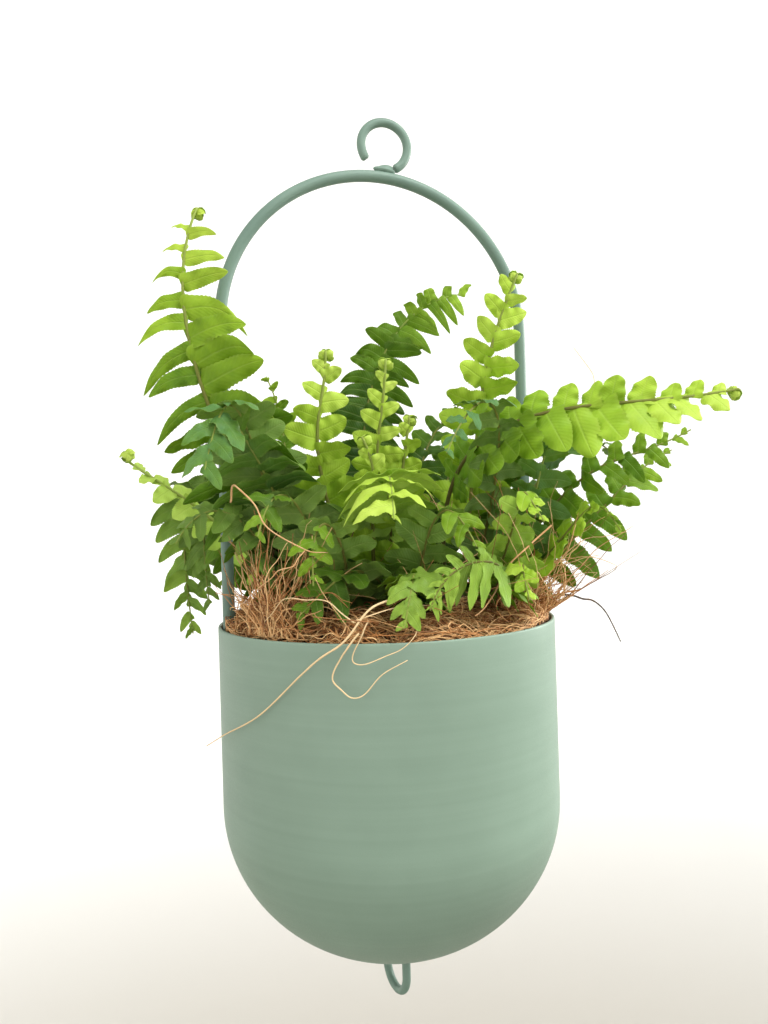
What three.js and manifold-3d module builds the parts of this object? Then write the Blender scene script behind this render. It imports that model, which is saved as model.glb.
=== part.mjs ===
// A young Boston fern in a hanging bullet-shaped metal pot.
//
// The pot hangs from an open ring welded to a tall arched handle. A fibre mat covers the
// root ball at the rim, the crowns sit in the mat, and the fronds and wiry runners spring
// from them. Lengths are in millimetres, +Z is up. The handle's plane is XZ and the pot's
// front faces -Y. Everything is placed from the centre of the pot's rim, and the whole is
// then moved so that the origin is where the ring bears on its hook.

import * as THREE from "three";
import { mergeVertices } from "three/addons/utils/BufferGeometryUtils.js";
import Module from "manifold-3d";

const wasm = await Module();
wasm.setup();

// ---------------------------------------------------------------- sizes

const CLEARANCE = 0.3;

const POT_RADIUS = 60;
const POT_WALL = 1.2;
const POT_STRAIGHT = 63;
const POT_DOME = 54;
const POT_SEGMENTS = 40;
const POT_STEPS = 8;

const ARCH_ROD = 4.2;
const ARCH_STRAIGHT = 104;
const LEG_DEPTH = 40;
const ROD_SIDES = 8;
const ARCH_STEPS = 38;

const RING_ROD = 3.2;
const RING_RADIUS = 8.8;
const RING_OFFSET = 4.5;
const RING_START_DEG = -66;
const RING_SWEEP_DEG = 282;
const RING_STEPS = 20;
const RING_WELD_LENGTH = 8;
const RING_WELD_HEIGHT = 2;

const LOOP_ROD = 3;
const LOOP_RADIUS = 7.5;
const LOOP_DROP = 19.5;
const LOOP_TURN_DEG = 11;
const LOOP_STEPS = 16;
const LOOP_WELD = 1.4;

const SOIL_GAP = 0.8;
const SOIL_STEPS = 6;
const FILL_SEGMENTS = 28;
const MAT_BOTTOM = -6;
const MAT_TOP = 1.5;
const MAT_BUMP = 1.4;
const LEG_CHANNEL_GAP = 0.6;

const TUFT_SIDES = 8;
const CROWN_SIDES = 12;
const CROWN_STEPS = 4;

const RUNNER_RADIUS = 0.6;
const RUNNER_SIDES = 5;
const RUNNER_STEP = 6;

// The stalks: half their width, the bare share above the foot, the gap under the foot, how
// much thinner the tip is, and the size of the knob that ends a curled one.
const STALK_HALF = 0.6;
const BARE_SHARE = 0.16;
const FOOT_GAP = 1.4;
const TIP_TAPER = 0.55;
const KNOB_LENGTH = 4;
const KNOB_HALF = 1.7;

// The leaflets: their lean towards the tip and droop as shares of their length, the width of
// their blunt end as a share of their own, and the most width they have as a share of the
// gap between them and of their length.
const LEAF_THICKNESS = 0.7;
const LEAF_LEAN = 0.22;
const LEAF_DROOP = 0.12;
const LEAF_END = 0.55;
const LEAF_FILL = 0.86;
const LEAF_STOUT = 0.62;

// The plants' places below are for a pot of PLANTED_RADIUS, and spread with the real one.
const PLANTED_RADIUS = 60;
const SPREAD = POT_RADIUS / PLANTED_RADIUS;

// ---------------------------------------------------------------- materials

const COLOURS = {
  powder_coat: [0x8fae9b, 0.55, 0.1],
  growing_mix: [0x3a2c22, 0.95, 0],
  coir: [0x9c6b41, 0.95, 0],
  crown: [0x6b5a35, 0.9, 0],
  runner: [0xc79a66, 0.8, 0],
  leaf_lime: [0xa8c64a, 0.55, 0],
  leaf_green: [0x5f9a35, 0.55, 0],
  leaf_deep: [0x2f6a3a, 0.5, 0],
};

function material(kind) {
  const [color, roughness, metalness] = COLOURS[kind];
  return new THREE.MeshStandardMaterial({ color, roughness, metalness });
}

// ---------------------------------------------------------------- solids

function vertex(x, y, z) {
  return new THREE.Vector3(x, y, z);
}

// A plant's place, from the centre of the rim.
function spot([x, y, z]) {
  return vertex(x * SPREAD, y * SPREAD, z);
}

function radians(degrees) {
  return THREE.MathUtils.degToRad(degrees);
}

function signedVolume(positions, index) {
  const a = new THREE.Vector3();
  const b = new THREE.Vector3();
  const c = new THREE.Vector3();
  let sum = 0;
  for (let i = 0; i < index.length; i += 3) {
    a.fromArray(positions, index[i] * 3);
    b.fromArray(positions, index[i + 1] * 3);
    c.fromArray(positions, index[i + 2] * 3);
    sum += a.dot(b.cross(c)) / 6;
  }
  return sum;
}

// Only position is kept, shared corners are merged, and the faces are turned outwards.
function closed(geometry) {
  const bare = geometry.clone();
  for (const name of Object.keys(bare.attributes)) {
    if (name !== "position") bare.deleteAttribute(name);
  }
  const merged = mergeVertices(bare, 1e-4);
  const positions = merged.attributes.position.array;
  const whole = [];
  const index = merged.index.array;
  for (let i = 0; i < index.length; i += 3) {
    const [a, b, c] = [index[i], index[i + 1], index[i + 2]];
    if (a !== b && b !== c && c !== a) whole.push(a, b, c);
  }
  if (signedVolume(positions, whole) < 0) whole.reverse();
  merged.setIndex(whole);
  return merged;
}

function toSolid(geometry) {
  const mesh = new wasm.Mesh({
    numProp: 3,
    vertProperties: new Float32Array(geometry.attributes.position.array),
    triVerts: new Uint32Array(geometry.index.array),
  });
  return new wasm.Manifold(mesh);
}

function toGeometry(solid) {
  const mesh = solid.getMesh();
  const geometry = new THREE.BufferGeometry();
  geometry.setAttribute("position", new THREE.BufferAttribute(mesh.vertProperties, 3));
  geometry.setIndex(Array.from(mesh.triVerts));
  return geometry;
}

function cut(geometry, ...tools) {
  let solid = toSolid(geometry);
  for (const tool of tools) solid = solid.subtract(toSolid(tool));
  return toGeometry(solid);
}

// A profile of [radius, height] pairs turned about the Z axis.
function turned(profile, segments) {
  const points = profile.map(([r, z]) => new THREE.Vector2(r, z));
  const geometry = new THREE.LatheGeometry(points, segments);
  geometry.rotateX(Math.PI / 2);
  return closed(geometry);
}

function rod(path, radius, sides, steps) {
  const corners = [];
  for (let i = 0; i < sides; i += 1) {
    const angle = (2 * Math.PI * i) / sides;
    corners.push(new THREE.Vector2(radius * Math.cos(angle), radius * Math.sin(angle)));
  }
  const section = new THREE.Shape(corners);
  const options = { steps, extrudePath: path, bevelEnabled: false, curveSegments: 1 };
  return closed(new THREE.ExtrudeGeometry(section, options));
}

function bead(centre, radii) {
  const geometry = new THREE.SphereGeometry(1, 8, 6);
  geometry.scale(radii.x, radii.y, radii.z);
  geometry.translate(centre.x, centre.y, centre.z);
  return closed(geometry);
}

// ---------------------------------------------------------------- pot

// The dome's height at a distance from the axis.
function domeHeight(r, radius, depth) {
  return -POT_STRAIGHT - depth * Math.sqrt(1 - (r / radius) ** 2);
}

// Wall from the rim to the pole, as [radius, height] pairs.
function bulletProfile(radius, depth, top, steps) {
  const profile = [[radius, top]];
  for (let i = 0; i <= steps; i += 1) {
    const angle = (Math.PI / 2) * (i / steps);
    const r = i === steps ? 0 : radius * Math.cos(angle);
    profile.push([r, -POT_STRAIGHT - depth * Math.sin(angle)]);
  }
  return profile;
}

function potShell() {
  const outside = bulletProfile(POT_RADIUS, POT_DOME, 0, POT_STEPS);
  const inside = bulletProfile(POT_RADIUS - POT_WALL, POT_DOME - POT_WALL, 0, POT_STEPS);
  return turned([...inside.reverse(), ...outside], POT_SEGMENTS);
}

// ---------------------------------------------------------------- handle, ring and loop

const LEG_X = POT_RADIUS - POT_WALL - CLEARANCE - ARCH_ROD / 2;
const ARCH_TOP = ARCH_STRAIGHT + LEG_X;

class ArchCurve extends THREE.Curve {
  getPoint(t, target = new THREE.Vector3()) {
    const leg = ARCH_STRAIGHT + LEG_DEPTH;
    const bend = Math.PI * LEG_X;
    const s = t * (2 * leg + bend);
    if (s < leg) return target.set(-LEG_X, 0, s - LEG_DEPTH);
    if (s > leg + bend) return target.set(LEG_X, 0, ARCH_STRAIGHT - (s - leg - bend));
    const angle = Math.PI - (s - leg) / LEG_X;
    return target.set(LEG_X * Math.cos(angle), 0, ARCH_STRAIGHT + LEG_X * Math.sin(angle));
  }
}

function archRod(radius) {
  return rod(new ArchCurve(), radius, ROD_SIDES, ARCH_STEPS);
}

// The ring's lower end stands on the handle, a clearance above its curved back.
const RING_OUTSIDE = RING_RADIUS + RING_ROD / 2;
const RING_END_X = RING_OFFSET + RING_OUTSIDE * Math.cos(radians(RING_START_DEG));
const RING_END_DROP = -RING_OUTSIDE * Math.sin(radians(RING_START_DEG));
const ARCH_BACK = Math.sqrt((LEG_X + ARCH_ROD / 2) ** 2 - RING_END_X ** 2);
const RING_CENTRE = ARCH_STRAIGHT + ARCH_BACK + CLEARANCE + RING_END_DROP;
const BEARING_HEIGHT = RING_CENTRE + RING_RADIUS - RING_ROD / 2;

class RingCurve extends THREE.Curve {
  getPoint(t, target = new THREE.Vector3()) {
    const angle = radians(RING_START_DEG + RING_SWEEP_DEG * t);
    const x = RING_OFFSET + RING_RADIUS * Math.cos(angle);
    return target.set(x, 0, RING_CENTRE + RING_RADIUS * Math.sin(angle));
  }
}

function ringRod(radius) {
  return rod(new RingCurve(), radius, ROD_SIDES, RING_STEPS);
}

// A lump on top of the handle, against the inner side of the ring's lower end.
function ringWeld() {
  const end = new RingCurve().getPoint(0);
  const centre = vertex(end.x - RING_WELD_LENGTH / 2, 0, ARCH_TOP + ARCH_ROD / 2);
  const lump = bead(centre, vertex(RING_WELD_LENGTH / 2, RING_ROD / 2, RING_WELD_HEIGHT));
  return cut(lump, archRod(ARCH_ROD / 2 + CLEARANCE), ringRod(RING_ROD / 2 + CLEARANCE));
}

// A drop of weld under the foot of one leg, a little slimmer than the leg.
function legWeld(side) {
  const reach = ARCH_ROD / 2;
  const centre = vertex(side * LEG_X, 0, -LEG_DEPTH - CLEARANCE - reach);
  return bead(centre, vertex(reach - 0.2, reach - 0.1, reach));
}

const LOOP_TOP = domeHeight(LOOP_RADIUS - LOOP_ROD / 2, POT_RADIUS, POT_DOME) - CLEARANCE;
const LOOP_BOTTOM = -POT_STRAIGHT - POT_DOME - LOOP_DROP;

class LoopCurve extends THREE.Curve {
  getPoint(t, target = new THREE.Vector3()) {
    const centre = LOOP_BOTTOM + LOOP_ROD / 2 + LOOP_RADIUS;
    const leg = LOOP_TOP - centre;
    const bend = Math.PI * LOOP_RADIUS;
    const s = t * (2 * leg + bend);
    if (s < leg) return target.set(0, -LOOP_RADIUS, LOOP_TOP - s);
    if (s > leg + bend) return target.set(0, LOOP_RADIUS, centre + s - leg - bend);
    const angle = Math.PI + (s - leg) / LOOP_RADIUS;
    return target.set(0, LOOP_RADIUS * Math.cos(angle), centre + LOOP_RADIUS * Math.sin(angle));
  }
}

function loopRod(radius) {
  const geometry = rod(new LoopCurve(), radius, ROD_SIDES, LOOP_STEPS);
  geometry.rotateZ(radians(LOOP_TURN_DEG));
  return geometry;
}

// A fillet round one leg of the loop, against the dome.
function loopWeld(side) {
  const foot = vertex(0, side * LOOP_RADIUS, LOOP_TOP);
  foot.applyAxisAngle(vertex(0, 0, 1), radians(LOOP_TURN_DEG));
  const reach = LOOP_ROD / 2 + LOOP_WELD;
  const lump = bead(foot, vertex(reach, reach, reach - CLEARANCE));
  const wall = bulletProfile(POT_RADIUS + CLEARANCE, POT_DOME + CLEARANCE, 0, POT_STEPS);
  const dome = turned([[0, 0], ...wall], POT_SEGMENTS);
  return cut(lump, dome, loopRod(LOOP_ROD / 2 + CLEARANCE));
}

// ---------------------------------------------------------------- root ball, mat and tufts

const FILL_RADIUS = POT_RADIUS - POT_WALL - SOIL_GAP;

// A straight channel that keeps the fill clear of one leg and of the weld at its foot.
function legChannel(side) {
  const top = MAT_TOP + 2 * MAT_BUMP + CLEARANCE;
  const bottom = -LEG_DEPTH - 2 * ARCH_ROD;
  const geometry = new THREE.CylinderGeometry(1, 1, top - bottom, 12);
  const radius = ARCH_ROD / 2 + LEG_CHANNEL_GAP;
  geometry.scale(radius, 1, radius);
  geometry.rotateX(Math.PI / 2);
  geometry.translate(side * LEG_X, 0, (top + bottom) / 2);
  return closed(geometry);
}

function rootBall() {
  const depth = POT_DOME - POT_WALL - SOIL_GAP;
  const top = MAT_BOTTOM - CLEARANCE;
  const wall = bulletProfile(FILL_RADIUS, depth, top, SOIL_STEPS);
  const ball = turned([[0, top], ...wall], FILL_SEGMENTS);
  return cut(ball, legChannel(-1), legChannel(1));
}

// Height of the mat's uneven top: a broad roll and a finer slanting one.
function matHeight(x, y) {
  const broad = Math.sin(x / 9 + 0.6) * Math.cos(y / 11 - 0.4);
  const fine = 0.6 * Math.sin(x / 5 - y / 7);
  return MAT_TOP + MAT_BUMP * (broad + fine);
}

function coirMat() {
  const rings = [0, 0.35, 0.7, 1];
  const top = rings.map((share) => [share * FILL_RADIUS, MAT_TOP]);
  const mat = turned([...top, [FILL_RADIUS, MAT_BOTTOM], [0, MAT_BOTTOM]], FILL_SEGMENTS);
  const place = mat.attributes.position;
  for (let i = 0; i < place.count; i += 1) {
    if (place.getZ(i) > MAT_BOTTOM / 2) {
      place.setZ(i, matHeight(place.getX(i), place.getY(i)));
    }
  }
  return cut(mat, legChannel(-1), legChannel(1));
}

// A clump of upright fibre: a turned spindle of given radii whose axis is bent along a curve.
function clump(points, radii) {
  const axis = new THREE.CatmullRomCurve3(points.map(spot));
  const profile = [[0, 0]];
  radii.forEach((radius, i) => profile.push([radius, i / (radii.length - 1)]));
  profile.push([0, 1]);
  const geometry = turned(profile, TUFT_SIDES);
  const place = geometry.attributes.position;
  for (let i = 0; i < place.count; i += 1) {
    const centre = axis.getPoint(THREE.MathUtils.clamp(place.getZ(i), 0, 1));
    place.setXYZ(i, centre.x + place.getX(i), centre.y + place.getY(i), centre.z);
  }
  return closed(geometry);
}

// What stands on the mat starts a clearance above its highest bump.
const PLANTED_HEIGHT = MAT_TOP + 1.6 * MAT_BUMP + CLEARANCE;

const TUFTS = {
  fibre_tuft_left: {
    points: [[-42, -24, PLANTED_HEIGHT], [-45, -22, 22], [-48, -21, 44]],
    radii: [7.5, 6.5, 3.5, 0.8],
  },
  fibre_tuft_right: {
    points: [[46, -22, PLANTED_HEIGHT], [58, -30, 20], [82, -36, 44]],
    radii: [6.5, 4.5, 2.5, 0.7],
  },
};

// Low mounds where the stalks start: [x, y, radius, height].
const CROWNS = {
  crown_left: [-24, 2, 13, 4],
  crown_middle: [4, 4, 13, 4.5],
  crown_right: [32, 0, 13, 4],
};

function crown([x, y, radius, height]) {
  const profile = [[0, 0]];
  for (let i = 0; i <= CROWN_STEPS; i += 1) {
    const angle = (Math.PI / 2) * (i / CROWN_STEPS);
    const r = i === CROWN_STEPS ? 0 : radius * SPREAD * Math.cos(angle);
    profile.push([r, height * Math.sin(angle)]);
  }
  const geometry = turned(profile, CROWN_SIDES);
  const foot = spot([x, y, PLANTED_HEIGHT]);
  geometry.translate(foot.x, foot.y, foot.z);
  return geometry;
}

// Height above the mat or, where there is one, the crown under a stalk's foot.
function groundHeight(x, y) {
  let rise = 0;
  for (const [cx, cy, radius, height] of Object.values(CROWNS)) {
    const share = Math.hypot(x - cx, y - cy) / radius;
    if (share < 1) rise = Math.max(rise, height * Math.sqrt(1 - share ** 2));
  }
  return PLANTED_HEIGHT + rise;
}

// ---------------------------------------------------------------- runners

// Wiry roots and runners, as points that they pass through.
const RUNNERS = {
  runner_long: [
    [-10, -50, 12.5], [-22, -56, 9.5], [-31, -54.5, -1], [-41, -47, -9], [-53, -32.5, -24],
    [-61, -12, -34], [-65, 4, -41],
  ],
  runner_hook: [
    [-25, -57.5, 3.5], [-28.5, -56, -0.5], [-30, -55, -4], [-32, -54, -10.5], [-29, -56, -13.5],
    [-25, -57.5, -14.5], [-19, -60, -8.5], [-12, -62, -4.5],
  ],
  runner_left: [
    [-58, -34, 42.5], [-57, -38, 47.5], [-52, -43, 41], [-47, -46, 33], [-38, -47, 27.5],
    [-31, -46, 26.5],
  ],
  runner_rim: [
    [47.5, -38, 32], [37.5, -42, 26], [29, -46, 20.5], [21, -51, 13], [16, -54, 8], [11.5, -56.5, 6],
  ],
  runner_right: [[56, -8, 3.5], [65, -10, 5.5], [73.5, -12, 4], [81, -14, -0.5], [86.5, -16, -13]],
  runner_high: [[70, -24, 62], [75, -24, 76], [73, -22, 88], [68, -20, 96]],
};

function runner(points) {
  const path = new THREE.CatmullRomCurve3(points.map(spot), false, "centripetal");
  const steps = Math.ceil(path.getLength() / RUNNER_STEP);
  return rod(path, RUNNER_RADIUS, RUNNER_SIDES, steps);
}

// ---------------------------------------------------------------- fronds

// Each stalk starts at foot [x, y] on a crown and passes through lower and upper to its tip.
// side is the way its right-hand leaflets spread, leaf the length of its longest leaflet and
// pitch the distance between leaflets of one side. A curled frond ends in a small knob.
const FRONDS = {
  frond_tall_left: {
    foot: [-27, 4], lower: [-53, -11, 52], upper: [-68, -12, 98], tip: [-64, -6, 141],
    side: [1, -0.3, 0], leaf: 24, pitch: 10, tone: "leaf_green", curled: true,
  },
  frond_big_left: {
    foot: [-22, -6], lower: [-37, -16, 34], upper: [-47, -26, 53], tip: [-57, -29, 70],
    side: [1, -0.3, 0], leaf: 26, pitch: 9, tone: "leaf_deep",
  },
  frond_left_over: {
    foot: [-31, -3], lower: [-47, -22, 53], upper: [-57, -35, 72], tip: [-66, -43, 52],
    side: [-1, 0.3, 0], leaf: 17, pitch: 8.8, tone: "leaf_deep",
  },
  frond_crozier_left: {
    foot: [-34, 3], lower: [-53, 11, 30], upper: [-71, 12, 46], tip: [-89, 13, 59],
    side: [0.3, -0.6, -1], leaf: 9, pitch: 8.8, tone: "leaf_lime", curled: true,
  },
  frond_droop_left: {
    foot: [-32, 9], lower: [-56, 24, 44], upper: [-68, 34, 43], tip: [-67, 34, -6],
    side: [1, -0.3, 0], leaf: 14, pitch: 8.8, tone: "leaf_green",
  },
  frond_side_left: {
    foot: [-28, 11], lower: [-50, 20, 50], upper: [-61, 26, 48], tip: [-61, 28, 6],
    side: [1, -0.3, 0], leaf: 14, pitch: 8.8, tone: "leaf_deep",
  },
  frond_low_left: {
    foot: [-19, -9], lower: [-23, -33, 25], upper: [-31, -41, 35], tip: [-36, -48, 17],
    side: [-1, 0.3, 0], leaf: 14, pitch: 8.8, tone: "leaf_green",
  },
  frond_mid_left: {
    foot: [-27, -8], lower: [-29, -23, 23], upper: [-39, -32, 43], tip: [-51, -41, 32],
    side: [-1, 0.3, 0], leaf: 16, pitch: 8.8, tone: "leaf_deep",
  },
  frond_back_left: {
    foot: [-22, 11], lower: [-29, 28, 48], upper: [-30, 36, 72], tip: [-36, 36, 93],
    side: [1, -0.3, 0], leaf: 14, pitch: 8.8, tone: "leaf_green",
  },
  frond_young_left: {
    foot: [-7, 2], lower: [-23, -4, 50], upper: [-24, -6, 73], tip: [-21, -6, 94],
    side: [1, -0.3, 0], leaf: 15, pitch: 9, tone: "leaf_lime", curled: true,
  },
  frond_young_mid: {
    foot: [-1, 0], lower: [-4, -7, 49], upper: [-3, -10, 70], tip: [-1, -12, 90],
    side: [1, -0.3, 0], leaf: 13, pitch: 8.8, tone: "leaf_lime", curled: true,
  },
  frond_small_left: {
    foot: [-5, -5], lower: [-10, -22, 35], upper: [-11, -28, 50], tip: [-14, -29, 61],
    side: [1, -0.3, 0], leaf: 11, pitch: 7.5, tone: "leaf_lime", curled: true,
  },
  frond_small_mid: {
    foot: [9, 0], lower: [5, -7, 38], upper: [5, -10, 55], tip: [7, -12, 70],
    side: [1, -0.3, 0], leaf: 12, pitch: 7.5, tone: "leaf_lime", curled: true,
  },
  frond_dark_back: {
    foot: [2, 12], lower: [0, 25, 67], upper: [15, 27, 109], tip: [42, 21, 125],
    side: [1, -0.3, 0], leaf: 17, pitch: 7.5, tone: "leaf_deep",
  },
  frond_lime_front: {
    foot: [2, -6], lower: [-6, -28, 39], upper: [-12, -49, 49], tip: [-16, -66, 36],
    side: [-1, 0.3, 0], leaf: 19, pitch: 7.5, tone: "leaf_lime",
  },
  frond_young_right: {
    foot: [31, 7], lower: [36, -2, 60], upper: [40, -7, 93], tip: [50, -12, 123],
    side: [1, -0.3, 0], leaf: 13, pitch: 9, tone: "leaf_lime", curled: true,
  },
  frond_long_right: {
    foot: [25, 1], lower: [25, -22, 57], upper: [56, -45, 71], tip: [104, -61, 75],
    side: [0, -0.5, -0.85], leaf: 19, pitch: 9, tone: "leaf_lime", curled: true,
  },
  frond_front_hang: {
    foot: [28, -6], lower: [31, -34, 58], upper: [20, -48, 72], tip: [3, -59, 55],
    side: [-1, 0.3, 0], leaf: 14, pitch: 8.8, tone: "leaf_deep",
  },
  frond_right_up: {
    foot: [38, 2], lower: [61, -24, 43], upper: [79, -33, 55], tip: [102, -40, 64],
    side: [0, -0.6, -1], leaf: 16, pitch: 9, tone: "leaf_green",
  },
  frond_right_olive: {
    foot: [42, -2], lower: [78, -14, 34], upper: [96, -13, 49], tip: [114, -12, 59],
    side: [0, -0.6, -1], leaf: 16, pitch: 9, tone: "leaf_green",
  },
  frond_right_low: {
    foot: [41, -6], lower: [52, -36, 27], upper: [60, -44, 38], tip: [65, -52, 30],
    side: [0, -1, 0], leaf: 11, pitch: 8.8, tone: "leaf_lime",
  },
  frond_right_mid: {
    foot: [35, -3], lower: [43, -29, 35], upper: [47, -34, 53], tip: [53, -38, 67],
    side: [1, -0.3, 0], leaf: 17, pitch: 9, tone: "leaf_deep",
  },
  frond_small_right: {
    foot: [34, -10], lower: [28, -50, 33], upper: [28, -58, 43], tip: [30, -67, 34],
    side: [-1, 0.3, 0], leaf: 11, pitch: 7.5, tone: "leaf_lime",
  },
  frond_spike_right: {
    foot: [29, -12], lower: [32, -42, 16], upper: [31, -50, 20], tip: [29, -58, 10],
    side: [-1, 0.3, 0], leaf: 11, pitch: 7.5, tone: "leaf_lime",
  },
  frond_rim_front: {
    foot: [22, -7], lower: [26, -45, 17], upper: [12, -55, 22], tip: [-4, -60, 9],
    side: [0.7, 0.15, -0.7], leaf: 11, pitch: 5.5, tone: "leaf_lime",
  },
  frond_mid_front: {
    foot: [8, -7], lower: [3, -32, 20], upper: [5, -45, 37], tip: [12, -58, 27],
    side: [-1, 0.3, 0], leaf: 15, pitch: 8.8, tone: "leaf_green",
  },
  frond_mid_right: {
    foot: [36, 10], lower: [67, 3, 52], upper: [91, 9, 65], tip: [112, 7, 48],
    side: [0, -1, 0], leaf: 15, pitch: 8.8, tone: "leaf_deep",
  },
  frond_mid_back: {
    foot: [9, 11], lower: [21, 19, 54], upper: [33, 26, 73], tip: [43, 27, 83],
    side: [1, -0.3, 0], leaf: 15, pitch: 8.8, tone: "leaf_deep",
  },
  frond_back_low: {
    foot: [-2, 14], lower: [6, 34, 43], upper: [7, 46, 58], tip: [2, 58, 35],
    side: [1, -0.3, 0], leaf: 17, pitch: 8.8, tone: "leaf_green",
  },
  frond_back_mid: {
    foot: [14, 8], lower: [30, 22, 42], upper: [47, 32, 64], tip: [58, 42, 42],
    side: [1, -0.3, 0], leaf: 17, pitch: 8.8, tone: "leaf_deep",
  },
  frond_far_left: {
    foot: [-17, 13], lower: [-23, 40, 36], upper: [-30, 52, 54], tip: [-44, 60, 40],
    side: [1, -0.3, 0], leaf: 17, pitch: 8.8, tone: "leaf_deep",
  },
  frond_back_droop: {
    foot: [-10, 12], lower: [-12, 36, 30], upper: [-16, 50, 40], tip: [-22, 62, 18],
    side: [1, -0.3, 0], leaf: 13, pitch: 8.8, tone: "leaf_green",
  },
  frond_front_fill: {
    foot: [4, -9], lower: [-16, -33, 19], upper: [-28, -40, 17], tip: [-40, -41, 7],
    side: [-1, 0.3, 0], leaf: 15, pitch: 7.5, tone: "leaf_deep",
  },
  frond_right_fill: {
    foot: [38, -1], lower: [47, -16, 52], upper: [52, -19, 66], tip: [56, -22, 78],
    side: [1, -0.3, 0], leaf: 14, pitch: 8.8, tone: "leaf_deep",
  },
  frond_left_fill: {
    foot: [-33, -5], lower: [-46, -14, 28], upper: [-60, -16, 40], tip: [-74, -16, 30],
    side: [0.2, -0.6, -1], leaf: 14, pitch: 8.8, tone: "leaf_deep",
  },
  frond_front_low: {
    foot: [11, -9], lower: [0, -35, 14.5], upper: [-5.5, -50, 18.5], tip: [-12, -60, 4.5],
    side: [1, -0.3, 0], leaf: 14, pitch: 7, tone: "leaf_green",
  },
  frond_back_dip_left: {
    foot: [-15, 8], lower: [-34, 30, 24], upper: [-44, 42, 28], tip: [-54, 50, 10],
    side: [1, -0.3, 0], leaf: 14, pitch: 8.8, tone: "leaf_green",
  },
  frond_back_dip_right: {
    foot: [24, 9], lower: [30, 33, 28], upper: [32, 46, 34], tip: [36, 58, 14],
    side: [1, -0.3, 0], leaf: 14, pitch: 8.8, tone: "leaf_green",
  },
};

// The cubic curve that meets foot, lower, upper and tip at equal steps of its parameter.
function stalkCurve({ foot: [x, y], lower, upper, tip }) {
  const p0 = spot([x, y, groundHeight(x, y) + FOOT_GAP]);
  const [p1, p2, p3] = [lower, upper, tip].map(spot);
  const mix = (a, b, c, d) => {
    const sum = new THREE.Vector3();
    sum.addScaledVector(p0, a / 6).addScaledVector(p1, b / 6);
    return sum.addScaledVector(p2, c / 6).addScaledVector(p3, d / 6);
  };
  return new THREE.CubicBezierCurve3(p0, mix(-5, 18, -9, 2), mix(2, -9, 18, -5), p3);
}

// One cross-section of a stalk: its place, its own axes and its half width.
function station(curve, way, spread, half) {
  const share = Math.min(way, 1);
  const along = curve.getTangentAt(share);
  const side = vertex(...spread);
  side.addScaledVector(along, -side.dot(along)).normalize();
  const up = new THREE.Vector3().crossVectors(side, along);
  return { place: curve.getPointAt(share), along, side, up, half };
}

// Stations at the foot and at both ends of every leaflet's base, then the curled tip.
function stalkStations(frond) {
  const curve = stalkCurve(frond);
  const length = curve.getLength();
  const bare = BARE_SHARE * length;
  const end = frond.curled ? length - KNOB_LENGTH : length;
  const count = 2 * Math.round((end - bare) / frond.pitch);
  const stations = [station(curve, 0, frond.side, STALK_HALF)];
  stations.push(station(curve, bare / length / 2, frond.side, STALK_HALF));
  for (let i = 0; i <= count; i += 1) {
    const share = (bare + ((end - bare) * i) / count) / length;
    const half = STALK_HALF * (1 - TIP_TAPER * (i / count));
    stations.push(station(curve, share, frond.side, half));
  }
  if (frond.curled) {
    for (const [back, half] of [[0.65, KNOB_HALF], [0.3, KNOB_HALF], [0, 0.5 * KNOB_HALF]]) {
      stations.push(station(curve, 1 - (back * KNOB_LENGTH) / length, frond.side, half));
    }
  }
  return { stations, count };
}

function corners({ place, side, up, half }) {
  const at = (a, b) => place.clone().addScaledVector(side, a * half).addScaledVector(up, b * half);
  return { leftTop: at(-1, 1), rightTop: at(1, 1), rightLow: at(1, -1), leftLow: at(-1, -1) };
}

// Share of the longest leaflet that a leaflet has, from the stalk's foot (0) to its tip (1).
function leafShare(along) {
  return Math.min(1, 0.6 + 1.6 * along) * (1 - 0.8 * along ** 2.6);
}

// The two middle corners and blunt end of a leaflet between two stations. turn is its roll
// about the stalk in degrees, scale its share of the full length, margin what it is fattened.
function leafCorners(from, to, sign, length, width, { turn, scale }, margin) {
  const along = from.along.clone().add(to.along).normalize();
  const spread = from.side.clone().multiplyScalar(sign);
  spread.applyAxisAngle(along, radians(turn));
  const up = new THREE.Vector3().crossVectors(from.side, along);
  up.applyAxisAngle(along, radians(turn));
  const base = from.place.clone().add(to.place).multiplyScalar(0.5);
  const out = spread.clone().addScaledVector(along, LEAF_LEAN).normalize();
  const reach = length * scale + margin;
  const at = (share, across, lift) => base
    .clone()
    .addScaledVector(out, reach * share)
    .addScaledVector(along, across)
    .addScaledVector(up, lift - LEAF_DROOP * reach * share ** 2);
  const half = width / 2 + margin;
  const thick = LEAF_THICKNESS / 2 + margin;
  return {
    fromTop: at(0.5, -half, thick),
    fromLow: at(0.5, -half, -thick),
    toTop: at(0.5, half, thick),
    toLow: at(0.5, half, -thick),
    fromEnd: at(1, -half * LEAF_END, 0),
    toEnd: at(1, half * LEAF_END, 0),
  };
}

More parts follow.
